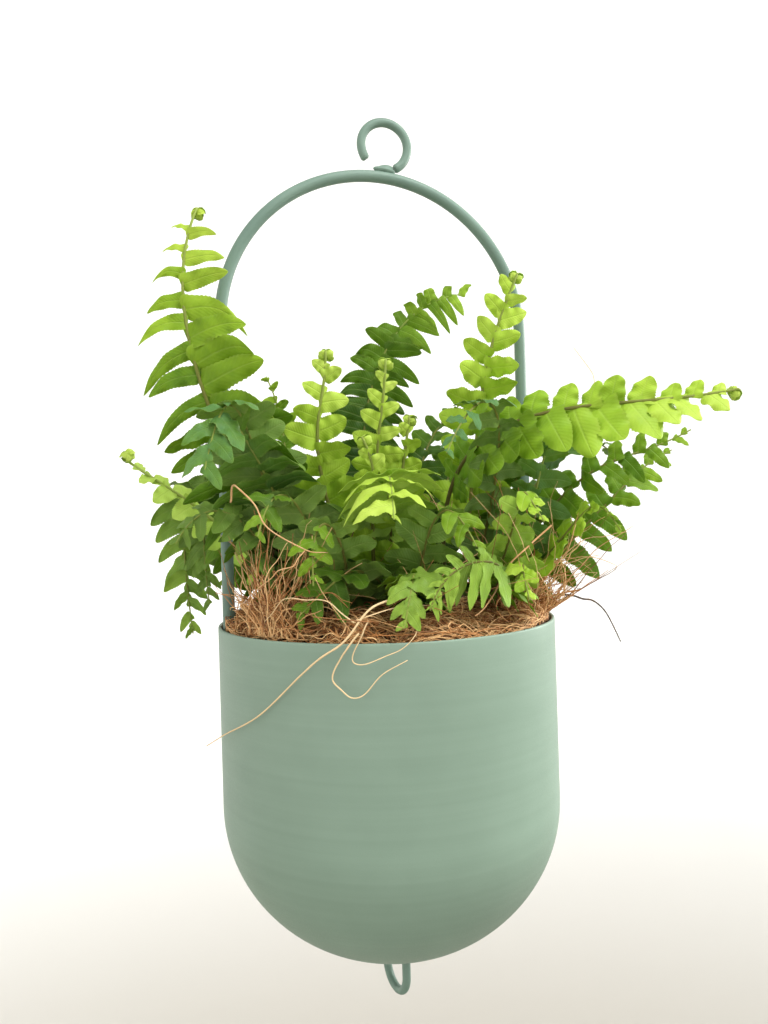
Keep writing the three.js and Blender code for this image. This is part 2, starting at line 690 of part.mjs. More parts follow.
// Collects corners and quads, and turns them into one closed geometry.
class Faces {
  constructor() {
    this.positions = [];
    this.index = [];
  }

  corner(point) {
    this.positions.push(point.x, point.y, point.z);
    return this.positions.length / 3 - 1;
  }

  triangle(a, b, c, flip) {
    this.index.push(a, flip ? c : b, flip ? b : c);
  }

  quad(a, b, c, d, flip = false) {
    this.triangle(a, b, c, flip);
    this.triangle(a, c, d, flip);
  }

  // base is [from low, to low, to top, from top] of the stalk's face that the leaflet leaves.
  leaflet([fromLow, toLow, toTop, fromTop], leaf, flip) {
    const c = Object.fromEntries(
      Object.entries(leaf).map(([name, point]) => [name, this.corner(point)]),
    );
    this.quad(fromTop, c.fromTop, c.toTop, toTop, flip);
    this.quad(fromLow, toLow, c.toLow, c.fromLow, flip);
    this.quad(fromLow, c.fromLow, c.fromTop, fromTop, flip);
    this.quad(toLow, toTop, c.toTop, c.toLow, flip);
    this.quad(c.fromTop, c.fromEnd, c.toEnd, c.toTop, flip);
    this.quad(c.fromLow, c.toLow, c.toEnd, c.fromEnd, flip);
    this.triangle(c.fromLow, c.fromEnd, c.fromTop, flip);
    this.triangle(c.toLow, c.toTop, c.toEnd, flip);
  }

  geometry() {
    const geometry = new THREE.BufferGeometry();
    geometry.setAttribute("position", new THREE.Float32BufferAttribute(this.positions, 3));
    geometry.setIndex(this.index);
    return closed(geometry);
  }
}

// The stalk with the leaflets that grow from its sides: leaves holds one entry per gap.
function frondGeometry(stations, leaves) {
  const faces = new Faces();
  const rings = stations.map((s) => {
    const c = corners(s);
    return [c.leftTop, c.rightTop, c.rightLow, c.leftLow].map((p) => faces.corner(p));
  });
  const [lt0, rt0, rl0, ll0] = rings[0];
  faces.quad(ll0, rl0, rt0, lt0);
  for (let k = 0; k + 1 < rings.length; k += 1) {
    const [lt, rt, rl, ll] = rings[k];
    const [ltn, rtn, rln, lln] = rings[k + 1];
    faces.quad(lt, rt, rtn, ltn);
    faces.quad(rl, ll, lln, rln);
    const leaf = leaves[k];
    if (leaf && leaf.sign > 0) faces.leaflet([rl, rln, rtn, rt], leaf.corners, false);
    else faces.quad(rl, rln, rtn, rt);
    if (leaf && leaf.sign < 0) faces.leaflet([ll, lln, ltn, lt], leaf.corners, true);
    else faces.quad(lln, ll, lt, ltn);
  }
  const [ltz, rtz, rlz, llz] = rings.at(-1);
  faces.quad(ltz, rtz, rlz, llz);
  return faces.geometry();
}

// One leaflet alone, closed at its base, to see whether it has room.
function looseLeaflet(from, to, sign, leaf) {
  const faces = new Faces();
  const [a, b] = [corners(from), corners(to)];
  const picks = sign > 0
    ? [a.rightLow, b.rightLow, b.rightTop, a.rightTop]
    : [a.leftLow, b.leftLow, b.leftTop, a.leftTop];
  const base = picks.map((p) => faces.corner(p));
  faces.leaflet(base, leaf, sign < 0);
  const [fromLow, toLow, toTop, fromTop] = base;
  faces.quad(fromTop, toTop, toLow, fromLow, sign < 0);
  return faces.geometry();
}

// ---------------------------------------------------------------- room for the leaflets

// Solids already placed, each with its box so that far ones are passed over.
class Placed {
  constructor() {
    this.entries = [];
  }

  add(geometry, owner) {
    geometry.computeBoundingBox();
    this.entries.push({ box: geometry.boundingBox, solid: toSolid(geometry), owner });
  }

  meets(geometry, skip) {
    geometry.computeBoundingBox();
    const near = this.entries.filter(
      (entry) => entry.owner !== skip && entry.box.intersectsBox(geometry.boundingBox),
    );
    if (near.length === 0) return false;
    const solid = toSolid(geometry);
    return near.some((entry) => !solid.intersect(entry.solid).isEmpty());
  }
}

// A leaflet first stands as it would grow, then turns about the stalk, then is shorter.
const LEAF_TRIES = [1, 0.75, 0.5].flatMap((scale) => [0, 12, -12, 24, -24].map(
  (turn) => ({ turn, scale }),
));

// Picks each leaflet's turn and length so that it stays clear of everything placed.
function growFrond(name, frond, placed) {
  const { stations, count } = stalkStations(frond);
  const stalkOwner = `${name} stalk`;
  const leaves = {};
  for (let i = 0; i < count; i += 1) {
    const k = i + 2;
    const [from, to] = [stations[k], stations[k + 1]];
    const sign = i % 2 === 0 ? 1 : -1;
    const length = frond.leaf * leafShare((i + 0.5) / count);
    const width = Math.min(frond.pitch * LEAF_FILL, LEAF_STOUT * length);
    for (const attempt of LEAF_TRIES) {
      const fat = leafCorners(from, to, sign, length, width, attempt, CLEARANCE);
      const probe = looseLeaflet(from, to, sign, fat);
      if (!placed.meets(probe, stalkOwner)) {
        const exact = leafCorners(from, to, sign, length, width, attempt, 0);
        leaves[k] = { sign, corners: exact };
        placed.add(looseLeaflet(from, to, sign, exact), name);
        break;
      }
    }
  }
  return frondGeometry(stations, leaves);
}

// ---------------------------------------------------------------- assembly

const part = new THREE.Group();
const pot = new THREE.Group();
pot.position.set(-RING_OFFSET, 0, -BEARING_HEIGHT);
part.add(pot);

function place(name, geometry, kind) {
  const mesh = new THREE.Mesh(geometry, material(kind));
  mesh.name = name;
  pot.add(mesh);
}

place("pot_shell", potShell(), "powder_coat");
place("hanger_arch", archRod(ARCH_ROD / 2), "powder_coat");
place("hanging_ring", ringRod(RING_ROD / 2), "powder_coat");
place("ring_weld", ringWeld(), "powder_coat");
place("leg_weld_left", legWeld(-1), "powder_coat");
place("leg_weld_right", legWeld(1), "powder_coat");
place("bottom_loop", loopRod(LOOP_ROD / 2), "powder_coat");
place("loop_weld_front", loopWeld(-1), "powder_coat");
place("loop_weld_back", loopWeld(1), "powder_coat");
place("root_ball", rootBall(), "growing_mix");
place("coir_mat", coirMat(), "coir");
for (const [name, { points, radii }] of Object.entries(TUFTS)) {
  place(name, clump(points, radii), "coir");
}
for (const [name, sizes] of Object.entries(CROWNS)) place(name, crown(sizes), "crown");
for (const [name, points] of Object.entries(RUNNERS)) place(name, runner(points), "runner");

const placed = new Placed();
for (const mesh of pot.children) placed.add(mesh.geometry, mesh.name);
for (const [name, frond] of Object.entries(FRONDS)) {
  placed.add(frondGeometry(stalkStations(frond).stations, {}), `${name} stalk`);
}
for (const [name, frond] of Object.entries(FRONDS)) {
  place(name, growFrond(name, frond, placed), frond.tone);
}

export default part;
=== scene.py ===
"""Looks for a young Boston fern in a hanging bullet-shaped metal pot.

Metres, +Z up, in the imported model's own frame: the origin is where the ring bears on its
hook, the handle stands in the XZ plane and the front faces -Y. Plants and fibre are placed
from the centre of the pot's rim, as the CAD places them. The tables of fronds and roots are
in millimetres.
"""

import math

import bmesh
import bpy
import numpy as np
from mathutils import Matrix, Vector


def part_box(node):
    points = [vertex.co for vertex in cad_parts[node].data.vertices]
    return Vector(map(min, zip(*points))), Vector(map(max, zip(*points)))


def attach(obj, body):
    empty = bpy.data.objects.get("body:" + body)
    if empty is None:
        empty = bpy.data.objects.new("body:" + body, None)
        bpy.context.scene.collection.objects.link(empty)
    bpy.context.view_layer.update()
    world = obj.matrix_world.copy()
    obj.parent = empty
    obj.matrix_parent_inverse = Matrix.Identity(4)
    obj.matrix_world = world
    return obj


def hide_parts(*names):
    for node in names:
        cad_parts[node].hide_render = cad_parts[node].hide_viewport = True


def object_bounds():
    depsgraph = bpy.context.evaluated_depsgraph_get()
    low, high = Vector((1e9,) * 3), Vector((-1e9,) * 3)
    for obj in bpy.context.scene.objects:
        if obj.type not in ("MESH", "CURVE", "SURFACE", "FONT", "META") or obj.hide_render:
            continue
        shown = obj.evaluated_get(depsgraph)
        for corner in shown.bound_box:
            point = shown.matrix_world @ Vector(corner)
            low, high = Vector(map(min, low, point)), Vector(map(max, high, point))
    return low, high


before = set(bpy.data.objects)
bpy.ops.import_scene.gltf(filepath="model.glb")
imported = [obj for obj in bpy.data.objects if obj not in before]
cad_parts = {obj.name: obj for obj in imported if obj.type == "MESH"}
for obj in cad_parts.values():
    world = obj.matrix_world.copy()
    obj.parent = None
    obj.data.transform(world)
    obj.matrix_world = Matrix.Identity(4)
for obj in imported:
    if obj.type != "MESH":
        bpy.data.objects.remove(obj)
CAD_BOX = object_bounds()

# ---- places from the frame

POT_LOW, POT_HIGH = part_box("pot_shell")
RIM = np.array([(POT_LOW.x + POT_HIGH.x) / 2, (POT_LOW.y + POT_HIGH.y) / 2, POT_HIGH.z])
BOX_LOW, BOX_HIGH = (np.array(corner) - RIM for corner in CAD_BOX)
POT_RADIUS = (POT_HIGH.x - POT_LOW.x) / 2
POT_DEPTH = POT_HIGH.z - POT_LOW.z
ARCH_LOW, ARCH_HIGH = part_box("hanger_arch")
ARCH_ROD = ARCH_HIGH.y - ARCH_LOW.y
LEG_X = (ARCH_HIGH.x - ARCH_LOW.x - ARCH_ROD) / 2
LEG_FOOT = ARCH_LOW.z - RIM[2]
ARCH_STRAIGHT = ARCH_HIGH.z - ARCH_ROD / 2 - LEG_X - RIM[2]
RING_LOW, RING_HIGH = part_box("hanging_ring")
RING_ROD = RING_HIGH.y - RING_LOW.y
RING_RADIUS = (RING_HIGH.x - RING_LOW.x - RING_ROD) / 2
LOOP_LOW, LOOP_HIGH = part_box("bottom_loop")

POT_STRAIGHT = 0.063
POT_WALL = 0.0012
POT_SEGMENTS = 192
RING_START_DEG = -66
RING_SWEEP_DEG = 282
RING_OUT_OF_ROUND = 0.006
LOOP_ROD = 0.003
LOOP_TURN_DEG = 11
LOOP_RADIUS = 0.0075
LOOP_SUNK = 0.0012  # how far its legs reach into the dome's beads
LEG_LIFT = 0.0001  # how far the arch's feet stay above the CAD's
ROD_END_SHARE = 0.72  # girth of a rod's softened ends
WELD_LUMP = 0.05
POLE_GAP = 0.02  # radians left open at a ball's pole, then closed with one face

MAT_RADIUS = 0.0578
MAT_TOP = 0.0015
MAT_BUMP = 0.0014
MAT_EDGE_DIP = 0.0034
MAT_LOW = -0.006
MAT_STRANDS = 2600
STRAND_RADIUS = 0.00022
LOOSE_STRANDS = 60
LOOSE_RADIUS = 0.00018
LOOSE_FLOOR = 0.002
LIP_CLEAR = 0.0025  # height above the rim from which strands may lean out over it
TUFT_JITTER = 6.5
CROWN_STUBS = 26
STUB_RADIUS = 0.0007
RUNNER_STEPS = 60
RUNNER_WOBBLE = 0.0005
SIDE_ROOT_SHARE = 0.7  # girth of a finer side root

CAMERA_FROM_RIM = (-0.0823, -0.2843, 0.0382)
CAMERA_YAW_DEG = -16.2
CAMERA_ROLL_DEG = -1.7
CAMERA_FOCAL_SHARE = 813 / 1024  # focal length as a share of the picture's long side
SENSOR_MM = 36.0


def srgb(red, green, blue):
    """Linear colour of an 8-bit sRGB one."""
    shares = [c / 255 for c in (red, green, blue)]
    return [s / 12.92 if s <= 0.04045 else ((s + 0.055) / 1.055) ** 2.4 for s in shares]


# ---- meshes from arrays


def build(name, points, quads, fields=None, sharp_deg=None):
    """A mesh object from corner places, four-cornered faces and numbers kept per corner."""
    points = np.asarray(points, float).reshape(-1, 3)
    quads = np.asarray(quads, np.int32).reshape(-1, 4)
    mesh = bpy.data.meshes.new(name)
    mesh.vertices.add(len(points))
    mesh.vertices.foreach_set("co", points.ravel())
    mesh.loops.add(quads.size)
    mesh.loops.foreach_set("vertex_index", quads.ravel())
    mesh.polygons.add(len(quads))
    mesh.polygons.foreach_set("loop_start", np.arange(0, quads.size, 4, dtype=np.int32))
    mesh.polygons.foreach_set("use_smooth", np.full(len(quads), True))
    for field, values in (fields or {}).items():
        layer = mesh.attributes.new(field, "FLOAT", "POINT")
        layer.data.foreach_set("value", np.asarray(values, np.float32).ravel())
    mesh.update(calc_edges=True)
    if sharp_deg:
        mesh.set_sharp_from_angle(angle=math.radians(sharp_deg))
    piece = bpy.data.objects.new(name, mesh)
    bpy.context.scene.collection.objects.link(piece)
    return piece


def grid_quads(rows, columns, closed_columns=False):
    """Faces of a grid of corners, numbered along its columns first."""
    across = columns if closed_columns else columns - 1
    r, c = np.meshgrid(np.arange(rows - 1), np.arange(across), indexing="ij")
    n = (c + 1) % columns
    quads = [r * columns + c, r * columns + n, (r + 1) * columns + n, (r + 1) * columns + c]
    return np.stack(quads, -1).reshape(-1, 4)


def unit(vectors):
    return vectors / np.maximum(np.linalg.norm(vectors, axis=-1, keepdims=True), 1e-12)


def places(x, y, z):
    """One array of places from numbers or arrays of each coordinate."""
    return np.stack(np.broadcast_arrays(x, y, z), -1)


def polar(radius, turn, height):
    return places(radius * np.cos(turn), radius * np.sin(turn), height)


def around(count):
    """count even angles of a full turn."""
    return np.arange(count) * 2 * math.pi / count


def ball_grid(rows, columns, lowest):
    """A unit ball's places from its top down to the tilt lowest, and their two angles."""
    tilt = np.linspace(POLE_GAP, lowest, rows)[:, None]
    turn = around(columns)[None]
    return polar(np.sin(tilt), turn, np.cos(tilt)), tilt, turn


def tubes(paths, radii, sides=4, normal=None):
    """Closed tubes along n paths of k points: corner places and faces. sides is even."""
    paths = np.asarray(paths, float)
    radii = np.broadcast_to(radii, paths.shape[:2])
    count, steps = paths.shape[:2]
    along = unit(np.gradient(paths, axis=1))
    if normal is None:
        normal = np.zeros_like(along)
        lean = np.abs(along).mean(axis=1)
        normal[np.arange(count), :, np.argmin(lean, axis=1)] = 1.0
    first = unit(np.cross(along, normal))
    second = np.cross(along, first)
    turn = around(sides)
    ring = np.cos(turn)[:, None] * first[:, :, None] + np.sin(turn)[:, None] * second[:, :, None]
    points = paths[:, :, None] + ring * radii[:, :, None, None]
    skin = grid_quads(steps, sides, closed_columns=True)
    last = (steps - 1) * sides
    cap = cap_quads(sides)
    one = np.concatenate([skin, flipped(cap), last + cap])
    offsets = np.arange(count)[:, None, None] * steps * sides
    return points.reshape(-1, 3), (one[None] + offsets).reshape(-1, 4)


def cap_quads(sides):
    """Quads that close an even ring of corners."""
    return np.array([[k, k + 1, sides - k - 2, sides - k - 1] for k in range(sides // 2 - 1)])


def flipped(quads):
    return np.asarray(quads)[:, ::-1]


def joined(parts):
    """Several (points, quads, fields) as one."""
    starts = np.cumsum([0] + [len(points) for points, _, _ in parts])
    return (
        np.concatenate([points for points, _, _ in parts]),
        np.concatenate([quads + start for (_, quads, _), start in zip(parts, starts)]),
        {key: np.concatenate([fields[key] for _, _, fields in parts]) for key in parts[0][2]},
    )


def smooth_path(points, count):
    """count points of a smooth curve through the given ones."""
    points = np.asarray(points, float)
    padded = np.vstack([2 * points[0] - points[1], points, 2 * points[-1] - points[-2]])
    spans = len(points) - 1
    at = np.linspace(0, spans, count)
    i = np.minimum(at.astype(int), spans - 1)
    t = (at - i)[:, None]
    a, b, c, d = padded[i], padded[i + 1], padded[i + 2], padded[i + 3]
    ways = 2 * b + (c - a) * t + (2 * a - 5 * b + 4 * c - d) * t**2
    return (ways + (3 * b - a - 3 * c + d) * t**3) / 2


# ---- materials


class Nodes:
    """A material's node tree with short ways to add what this script uses."""

    def __init__(self, name):
        self.material = bpy.data.materials.new(name)
        self.material.use_nodes = True
        self.tree = self.material.node_tree
        self.tree.nodes.clear()
        self.out = self.add("ShaderNodeOutputMaterial")

    def add(self, kind, **settings):
        node = self.tree.nodes.new(kind)
        for key, value in settings.items():
            setattr(node, key, value)
        return node

    def put(self, value, socket):
        """Links a socket, or sets a plain value."""
        if isinstance(value, bpy.types.NodeSocket):
            self.tree.links.new(value, socket)
        elif isinstance(value, (list, tuple)) and len(value) == 3 and socket.type == "RGBA":
            socket.default_value = (*value, 1)
        else:
            socket.default_value = value

    def math(self, operation, a, b=0.0):
        node = self.add("ShaderNodeMath", operation=operation)
        self.put(a, node.inputs[0])
        self.put(b, node.inputs[1])
        return node.outputs[0]

    def plus(self, a, b):
        return self.math("ADD", a, b)

    def times(self, a, b):
        return self.math("MULTIPLY", a, b)

    def field(self, name):
        node = self.add("ShaderNodeAttribute", attribute_name=name, attribute_type="GEOMETRY")
        return node.outputs["Fac"]

    def place(self):
        return self.add("ShaderNodeTexCoord").outputs["Object"]

    def stretch(self, vector, scale):
        node = self.add("ShaderNodeMapping")
        self.put(vector, node.inputs["Vector"])
        node.inputs["Scale"].default_value = scale
        return node.outputs["Vector"]

    def noise(self, vector, scale, detail=3.0, roughness=0.5):
        node = self.add("ShaderNodeTexNoise")
        self.put(vector, node.inputs["Vector"])
        node.inputs["Scale"].default_value = scale
        node.inputs["Detail"].default_value = detail
        node.inputs["Roughness"].default_value = roughness
        return node.outputs["Fac"]

    def range(self, value, low, high, out_low, out_high):
        node = self.add("ShaderNodeMapRange")
        for name, item in zip(
            ("Value", "From Min", "From Max", "To Min", "To Max"),
            (value, low, high, out_low, out_high),
        ):
            self.put(item, node.inputs[name])
        return node.outputs["Result"]

    def ramp(self, value, stops):
        node = self.add("ShaderNodeValToRGB")
        self.put(value, node.inputs["Fac"])
        elements = node.color_ramp.elements
        while len(elements) < len(stops):
            elements.new(0.5)
        for element, (position, colour) in zip(elements, stops):
            element.position = position
            element.color = (*colour, 1)
        return node.outputs["Color"]

    def mix(self, factor, a, b):
        node = self.add("ShaderNodeMix", data_type="RGBA")
        self.put(factor, node.inputs[0])
        self.put(a, node.inputs[6])
        self.put(b, node.inputs[7])
        return node.outputs[2]

    def bump(self, height, distance, strength=1.0):
        node = self.add("ShaderNodeBump")
        self.put(height, node.inputs["Height"])
        node.inputs["Distance"].default_value = distance
        node.inputs["Strength"].default_value = strength
        return node.outputs["Normal"]

    def surface(self, colour, roughness, normal=None, **plain):
        node = self.add("ShaderNodeBsdfPrincipled")
        self.put(colour, node.inputs["Base Color"])
        self.put(roughness, node.inputs["Roughness"])
        if normal is not None:
            self.put(normal, node.inputs["Normal"])
        for name, value in plain.items():
            node.inputs[name.replace("_", " ")].default_value = value
        return node.outputs["BSDF"]

    def finish(self, shader):
        self.tree.links.new(shader, self.out.inputs["Surface"])
        return self.material


def powder_coat():
    """Matt sage green coat: fine grain, faint turning lines, painted shade on rods and welds."""
    n = Nodes("sage_powder_coat")
    place = n.place()
    cloud = n.noise(place, 26, 3)
    streak = n.noise(n.stretch(place, (6, 6, 420)), 1.0, 2)
    grain = n.noise(place, 2600, 2)
    colour = n.ramp(
        n.plus(n.times(cloud, 0.7), n.times(streak, 0.3)),
        [(0.3, srgb(119, 141, 124)), (0.55, srgb(126, 148, 131)), (0.75, srgb(133, 155, 138))],
    )
    speck = n.range(n.noise(place, 900, 2), 0.68, 0.78, 0, 0.25)
    colour = n.mix(speck, colour, srgb(120, 146, 126))
    # Painted shade: rods and welds, which carry the rod field, get a darker copy of the same
    # coat.
    rod_painted_shade = n.ramp(cloud, [(0.35, srgb(97, 121, 108)), (0.65, srgb(111, 135, 121))])
    colour = n.mix(n.field("rod"), colour, rod_painted_shade)
    rough = n.range(grain, 0.3, 0.7, 0.44, 0.6)
    height = n.plus(n.times(grain, 0.35), n.times(streak, 0.65))
    shader = n.surface(colour, rough, n.bump(height, 0.00012, 0.5), Specular_IOR_Level=0.4)
    return n.finish(shader)


def fibre(name, dark, middle, pale):
    """Dry fibre: each strand has its own tone, darker in patches along it."""
    n = Nodes(name)
    tone = n.plus(n.field("tone"), n.times(n.noise(n.place(), 260), 0.3))
    colour = n.ramp(tone, [(0.15, dark), (0.6, middle), (1.1 / 1.2, pale)])
    grain = n.noise(n.place(), 3000, 2)
    rough = n.range(grain, 0.3, 0.7, 0.6, 0.85)
    return n.finish(n.surface(colour, rough, n.bump(grain, 0.0001)))


def soil():
    """Dark crumbly growing mix."""
    n = Nodes("growing_mix")
    lumps = n.noise(n.place(), 320, 6, 0.65)
    colour = n.ramp(
        lumps, [(0.3, srgb(30, 21, 15)), (0.55, srgb(62, 44, 30)), (0.8, srgb(104, 78, 52))]
    )
    rough = n.range(lumps, 0.2, 0.8, 0.8, 1.0)
    return n.finish(n.surface(colour, rough, n.bump(lumps, 0.0008)))


LEAF_RAMP = {
    "leaf_deep": [
        (0.0, srgb(38, 72, 22)), (0.35, srgb(64, 100, 20)),
        (0.7, srgb(104, 142, 28)), (1.0, srgb(158, 192, 58)),
    ],
    "leaf_green": [
        (0.0, srgb(56, 92, 18)), (0.35, srgb(92, 132, 22)),
        (0.7, srgb(142, 176, 38)), (1.0, srgb(188, 212, 76)),
    ],
    "leaf_lime": [
        (0.0, srgb(104, 146, 32)), (0.35, srgb(148, 186, 44)),
        (0.7, srgb(182, 212, 70)), (1.0, srgb(208, 230, 104)),
    ],
}


def leaf(slot):
    """Fern leaf: tone by age, pale midrib, slanting side veins, duller pale underside, painted
    highlight and sheen.
    """
    n = Nodes(slot)
    place = n.place()
    along, across = n.field("along"), n.field("across")
    mottle = n.noise(place, 190, 4, 0.6)
    age = n.plus(n.field("age"), n.times(n.math("SUBTRACT", mottle, 0.5), 0.45))
    top = n.ramp(age, LEAF_RAMP[slot])
    slant = n.math("SUBTRACT", n.times(along, 13.0), n.times(across, 2.6))
    wave = n.math("SINE", n.times(slant, 2 * math.pi))
    vein = n.range(wave, 0.55, 1.0, 0.0, 1.0)
    midrib = n.range(across, 0.0, 0.11, 1.0, 0.0)
    lines = n.math("MAXIMUM", n.times(vein, 0.05), n.times(midrib, 0.22))
    pale = n.mix(0.6, top, srgb(208, 222, 130))
    top = n.mix(lines, top, pale)
    # Painted highlight: the outer edge of each leaflet is paler, as if it caught the light.
    edge_highlight = n.range(across, 0.8, 1.0, 0.0, 0.18)
    top = n.mix(edge_highlight, top, srgb(186, 206, 96))
    under = n.mix(0.3, top, srgb(158, 188, 104))
    # Painted sheen: a dull blue-green cast of reflected light, in patches, on fronds with a
    # sheen share.
    sheen_mask = n.times(n.field("painted_sheen"), n.range(mottle, 0.35, 0.6, 0.3, 1.0))
    top = n.mix(sheen_mask, top, srgb(88, 136, 92))
    blade = n.mix(n.field("under"), top, under)
    stalk = n.ramp(n.field("age"), [
        (0.0, srgb(84, 68, 42)), (0.4, srgb(124, 124, 56)), (0.9, srgb(168, 192, 90)),
    ])
    colour = n.mix(n.field("stalk"), blade, stalk)
    relief = n.plus(n.times(wave, 0.16), n.times(mottle, 1.6))
    relief = n.math("SUBTRACT", relief, n.times(midrib, 1.2))
    rough = n.range(mottle, 0.3, 0.7, 0.46, 0.64)
    normal = n.bump(relief, 0.00016, 0.6)
    front = n.surface(colour, rough, normal, Specular_IOR_Level=0.26)
    glow = n.add("ShaderNodeBsdfTranslucent")
    n.put(n.mix(0.35, colour, srgb(186, 220, 48)), glow.inputs["Color"])
    n.put(normal, glow.inputs["Normal"])
    both = n.add("ShaderNodeMixShader")
    both.inputs[0].default_value = 0.3
    n.put(front, both.inputs[1])
    n.put(glow.outputs[0], both.inputs[2])
    return n.finish(both.outputs[0])


COAT = powder_coat()
COIR = fibre("coir_fibre", srgb(86, 52, 26), srgb(180, 120, 64), srgb(226, 184, 128))
ROOT = fibre("runner_skin", srgb(66, 44, 32), srgb(200, 146, 92), srgb(230, 200, 152))
CROWN = fibre("crown_scales", srgb(44, 34, 18), srgb(96, 76, 40), srgb(128, 122, 62))
MIX = soil()
LEAVES = {slot: leaf(slot) for slot in LEAF_RAMP}


def settle(piece, material, node):
    """Gives a piece its material and its body, and hides the CAD node that it stands for."""
    piece.data.materials.append(material)
    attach(piece, "root")
    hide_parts(node)
    return piece


# ---- pot


def turned(name, profile, segments, centre=RIM):
    """A mesh of [radius, height] pairs turned about an upright axis, with open poles."""
    radius, height = np.asarray(profile).T[..., None]
    points = polar(radius, around(segments), height) + centre
    return build(name, points, grid_quads(len(profile), segments, True))


def bullet(radius, depth, top, steps):
    """Wall and dome from the top down to just short of the pole."""
    straight = [[radius, z] for z in np.linspace(top, -POT_STRAIGHT, 12)]
    turn = np.linspace(0, np.pi / 2 - 0.002, steps)[1:]
    dome = [[radius * math.cos(a), -POT_STRAIGHT - depth * math.sin(a)] for a in turn]
    return straight + dome


def pot():
    """The thin shell with its rounded lip, inside and outside."""
    dome = POT_DEPTH - POT_STRAIGHT
    lip = POT_WALL / 2
    outside = bullet(POT_RADIUS, dome, -lip, 40)
    inside = bullet(POT_RADIUS - POT_WALL, dome - POT_WALL, -lip, 40)
    turn = np.linspace(0, np.pi, 7)[1:-1]
    middle = POT_RADIUS - lip
    edge = [[middle + lip * math.cos(a), -lip + lip * math.sin(a)] for a in turn]
    piece = turned("planter_pot", outside[::-1] + edge + inside, POT_SEGMENTS)
    close_poles(piece)
    return settle(piece, COAT, "pot_shell")


def close_poles(piece):
    """Closes the small rings left at the poles of a turned mesh."""
    shape = bmesh.new()
    shape.from_mesh(piece.data)
    rims = [e for e in shape.edges if e.is_boundary]
    bmesh.ops.holes_fill(shape, edges=rims, sides=0)
    bmesh.ops.recalc_face_normals(shape, faces=shape.faces)
    shape.to_mesh(piece.data)
    shape.free()


# ---- rods and welds


def rod_piece(name, path, radius, sides, across, node):
    """A round rod with softened ends. across is square to the plane that it bends in."""
    radii = np.full(len(path), radius)
    radii[[0, -1]] = radius * ROD_END_SHARE
    normal = np.broadcast_to(across, (1, len(path), 3))
    points, quads = tubes(path[None], radii[None], sides, normal=normal)
    # The rod field marks the rod for the coat's painted shade.
    piece = build(name, points, quads, {"rod": np.ones(len(points))}, sharp_deg=60)
    return settle(piece, COAT, node)


def arch():
    leg = np.linspace(LEG_FOOT, ARCH_STRAIGHT, 40)
    leg[0] += LEG_LIFT
    left = places(-LEG_X, 0, leg)
    turn = np.linspace(math.pi, 0, 97)[1:-1]
    bend = places(LEG_X * np.cos(turn), 0, ARCH_STRAIGHT + LEG_X * np.sin(turn))
    path = np.vstack([left, bend, left[::-1] * [-1, 1, 1]]) + RIM
    return rod_piece("handle_arch", path, ARCH_ROD / 2, 24, (0.0, 1.0, 0.0), "hanger_arch")


def ring():
    """The open ring, bent slightly out of round."""
    turn = np.radians(np.linspace(RING_START_DEG, RING_START_DEG + RING_SWEEP_DEG, 73))
    x = RING_RADIUS * np.cos(turn) * (1 + RING_OUT_OF_ROUND * np.sin(3 * turn))
    path = places(x, 0, RING_RADIUS * np.sin(turn) - RING_RADIUS + RING_ROD / 2)
    return rod_piece("hook_ring", path, RING_ROD / 2, 20, (0.0, 1.0, 0.0), "hanging_ring")


def loop():
    centre = LOOP_LOW.z + LOOP_ROD / 2 + LOOP_RADIUS
    turn = np.linspace(math.pi, 2 * math.pi, 33)
    front = places(0, -LOOP_RADIUS, np.linspace(LOOP_HIGH.z + LOOP_SUNK, centre, 10)[:-1])
    bend = places(0, LOOP_RADIUS * np.cos(turn), centre + LOOP_RADIUS * np.sin(turn))
    spin = np.array(Matrix.Rotation(math.radians(LOOP_TURN_DEG), 3, "Z"))
    path = np.vstack([front, bend, front[::-1] * [1, -1, 1]]) @ spin.T + [RIM[0], RIM[1], 0]
    return rod_piece("lower_loop", path, LOOP_ROD / 2, 16, spin @ [1.0, 0.0, 0.0], "bottom_loop")


def weld(name, node, grow, seed):
    """A lumpy weld bead that fills its CAD bead's box, or grows past it upwards and down."""
    low, high = (np.array(v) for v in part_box(node))
    rng = np.random.default_rng(seed)
    rows, columns = 18, 28
    bead, _, _ = ball_grid(rows, columns, math.pi - POLE_GAP)
    lump = 1.0
    for _ in range(5):
        way = unit(rng.normal(size=3))
        lump = lump + WELD_LUMP * np.sin(5 * (bead @ way) + rng.uniform(0, 6))[..., None]
    points = (low + high) / 2 + bead * lump * (high - low) / 2 * (1.0, 1.0, grow)
    quads = flipped(grid_quads(rows, columns, True))
    # The rod field marks the bead for the coat's painted shade.
    piece = build(name, points, quads, {"rod": np.ones(rows * columns)})
    close_poles(piece)
    return settle(piece, COAT, node)


# ---- fibre


def mat_height(x, y):
    """Height of the mat's uneven top above the rim, as in the CAD."""
    x, y = x * 1000, y * 1000
    bump = np.sin(x / 9 + 0.6) * np.cos(y / 11 - 0.4) + 0.6 * np.sin(x / 5 - y / 7)
    return MAT_TOP + MAT_BUMP * bump


def edge_dip(x, y):
    """How far the mat's worn edge dips towards the wall."""
    share = np.hypot(x, y) / MAT_RADIUS
    return MAT_EDGE_DIP * np.clip((share - 0.78) / 0.22, 0, 1) ** 1.5


def wander(rng, starts, ways, lengths, steps, curl, jitter):
    """Bending strands: each sets off one way and keeps turning at random."""
    count = len(starts)
    step = lengths[:, None, None] / (steps - 1)
    bend = rng.normal(0, curl, (count, 1, 3)) + rng.normal(0, jitter, (count, steps, 3))
    heading = unit(ways[:, None] + np.cumsum(bend, axis=1) / steps)
    moves = heading * step
    return np.concatenate([starts[:, None], starts[:, None] + np.cumsum(moves, 1)[:, :-1]], 1)


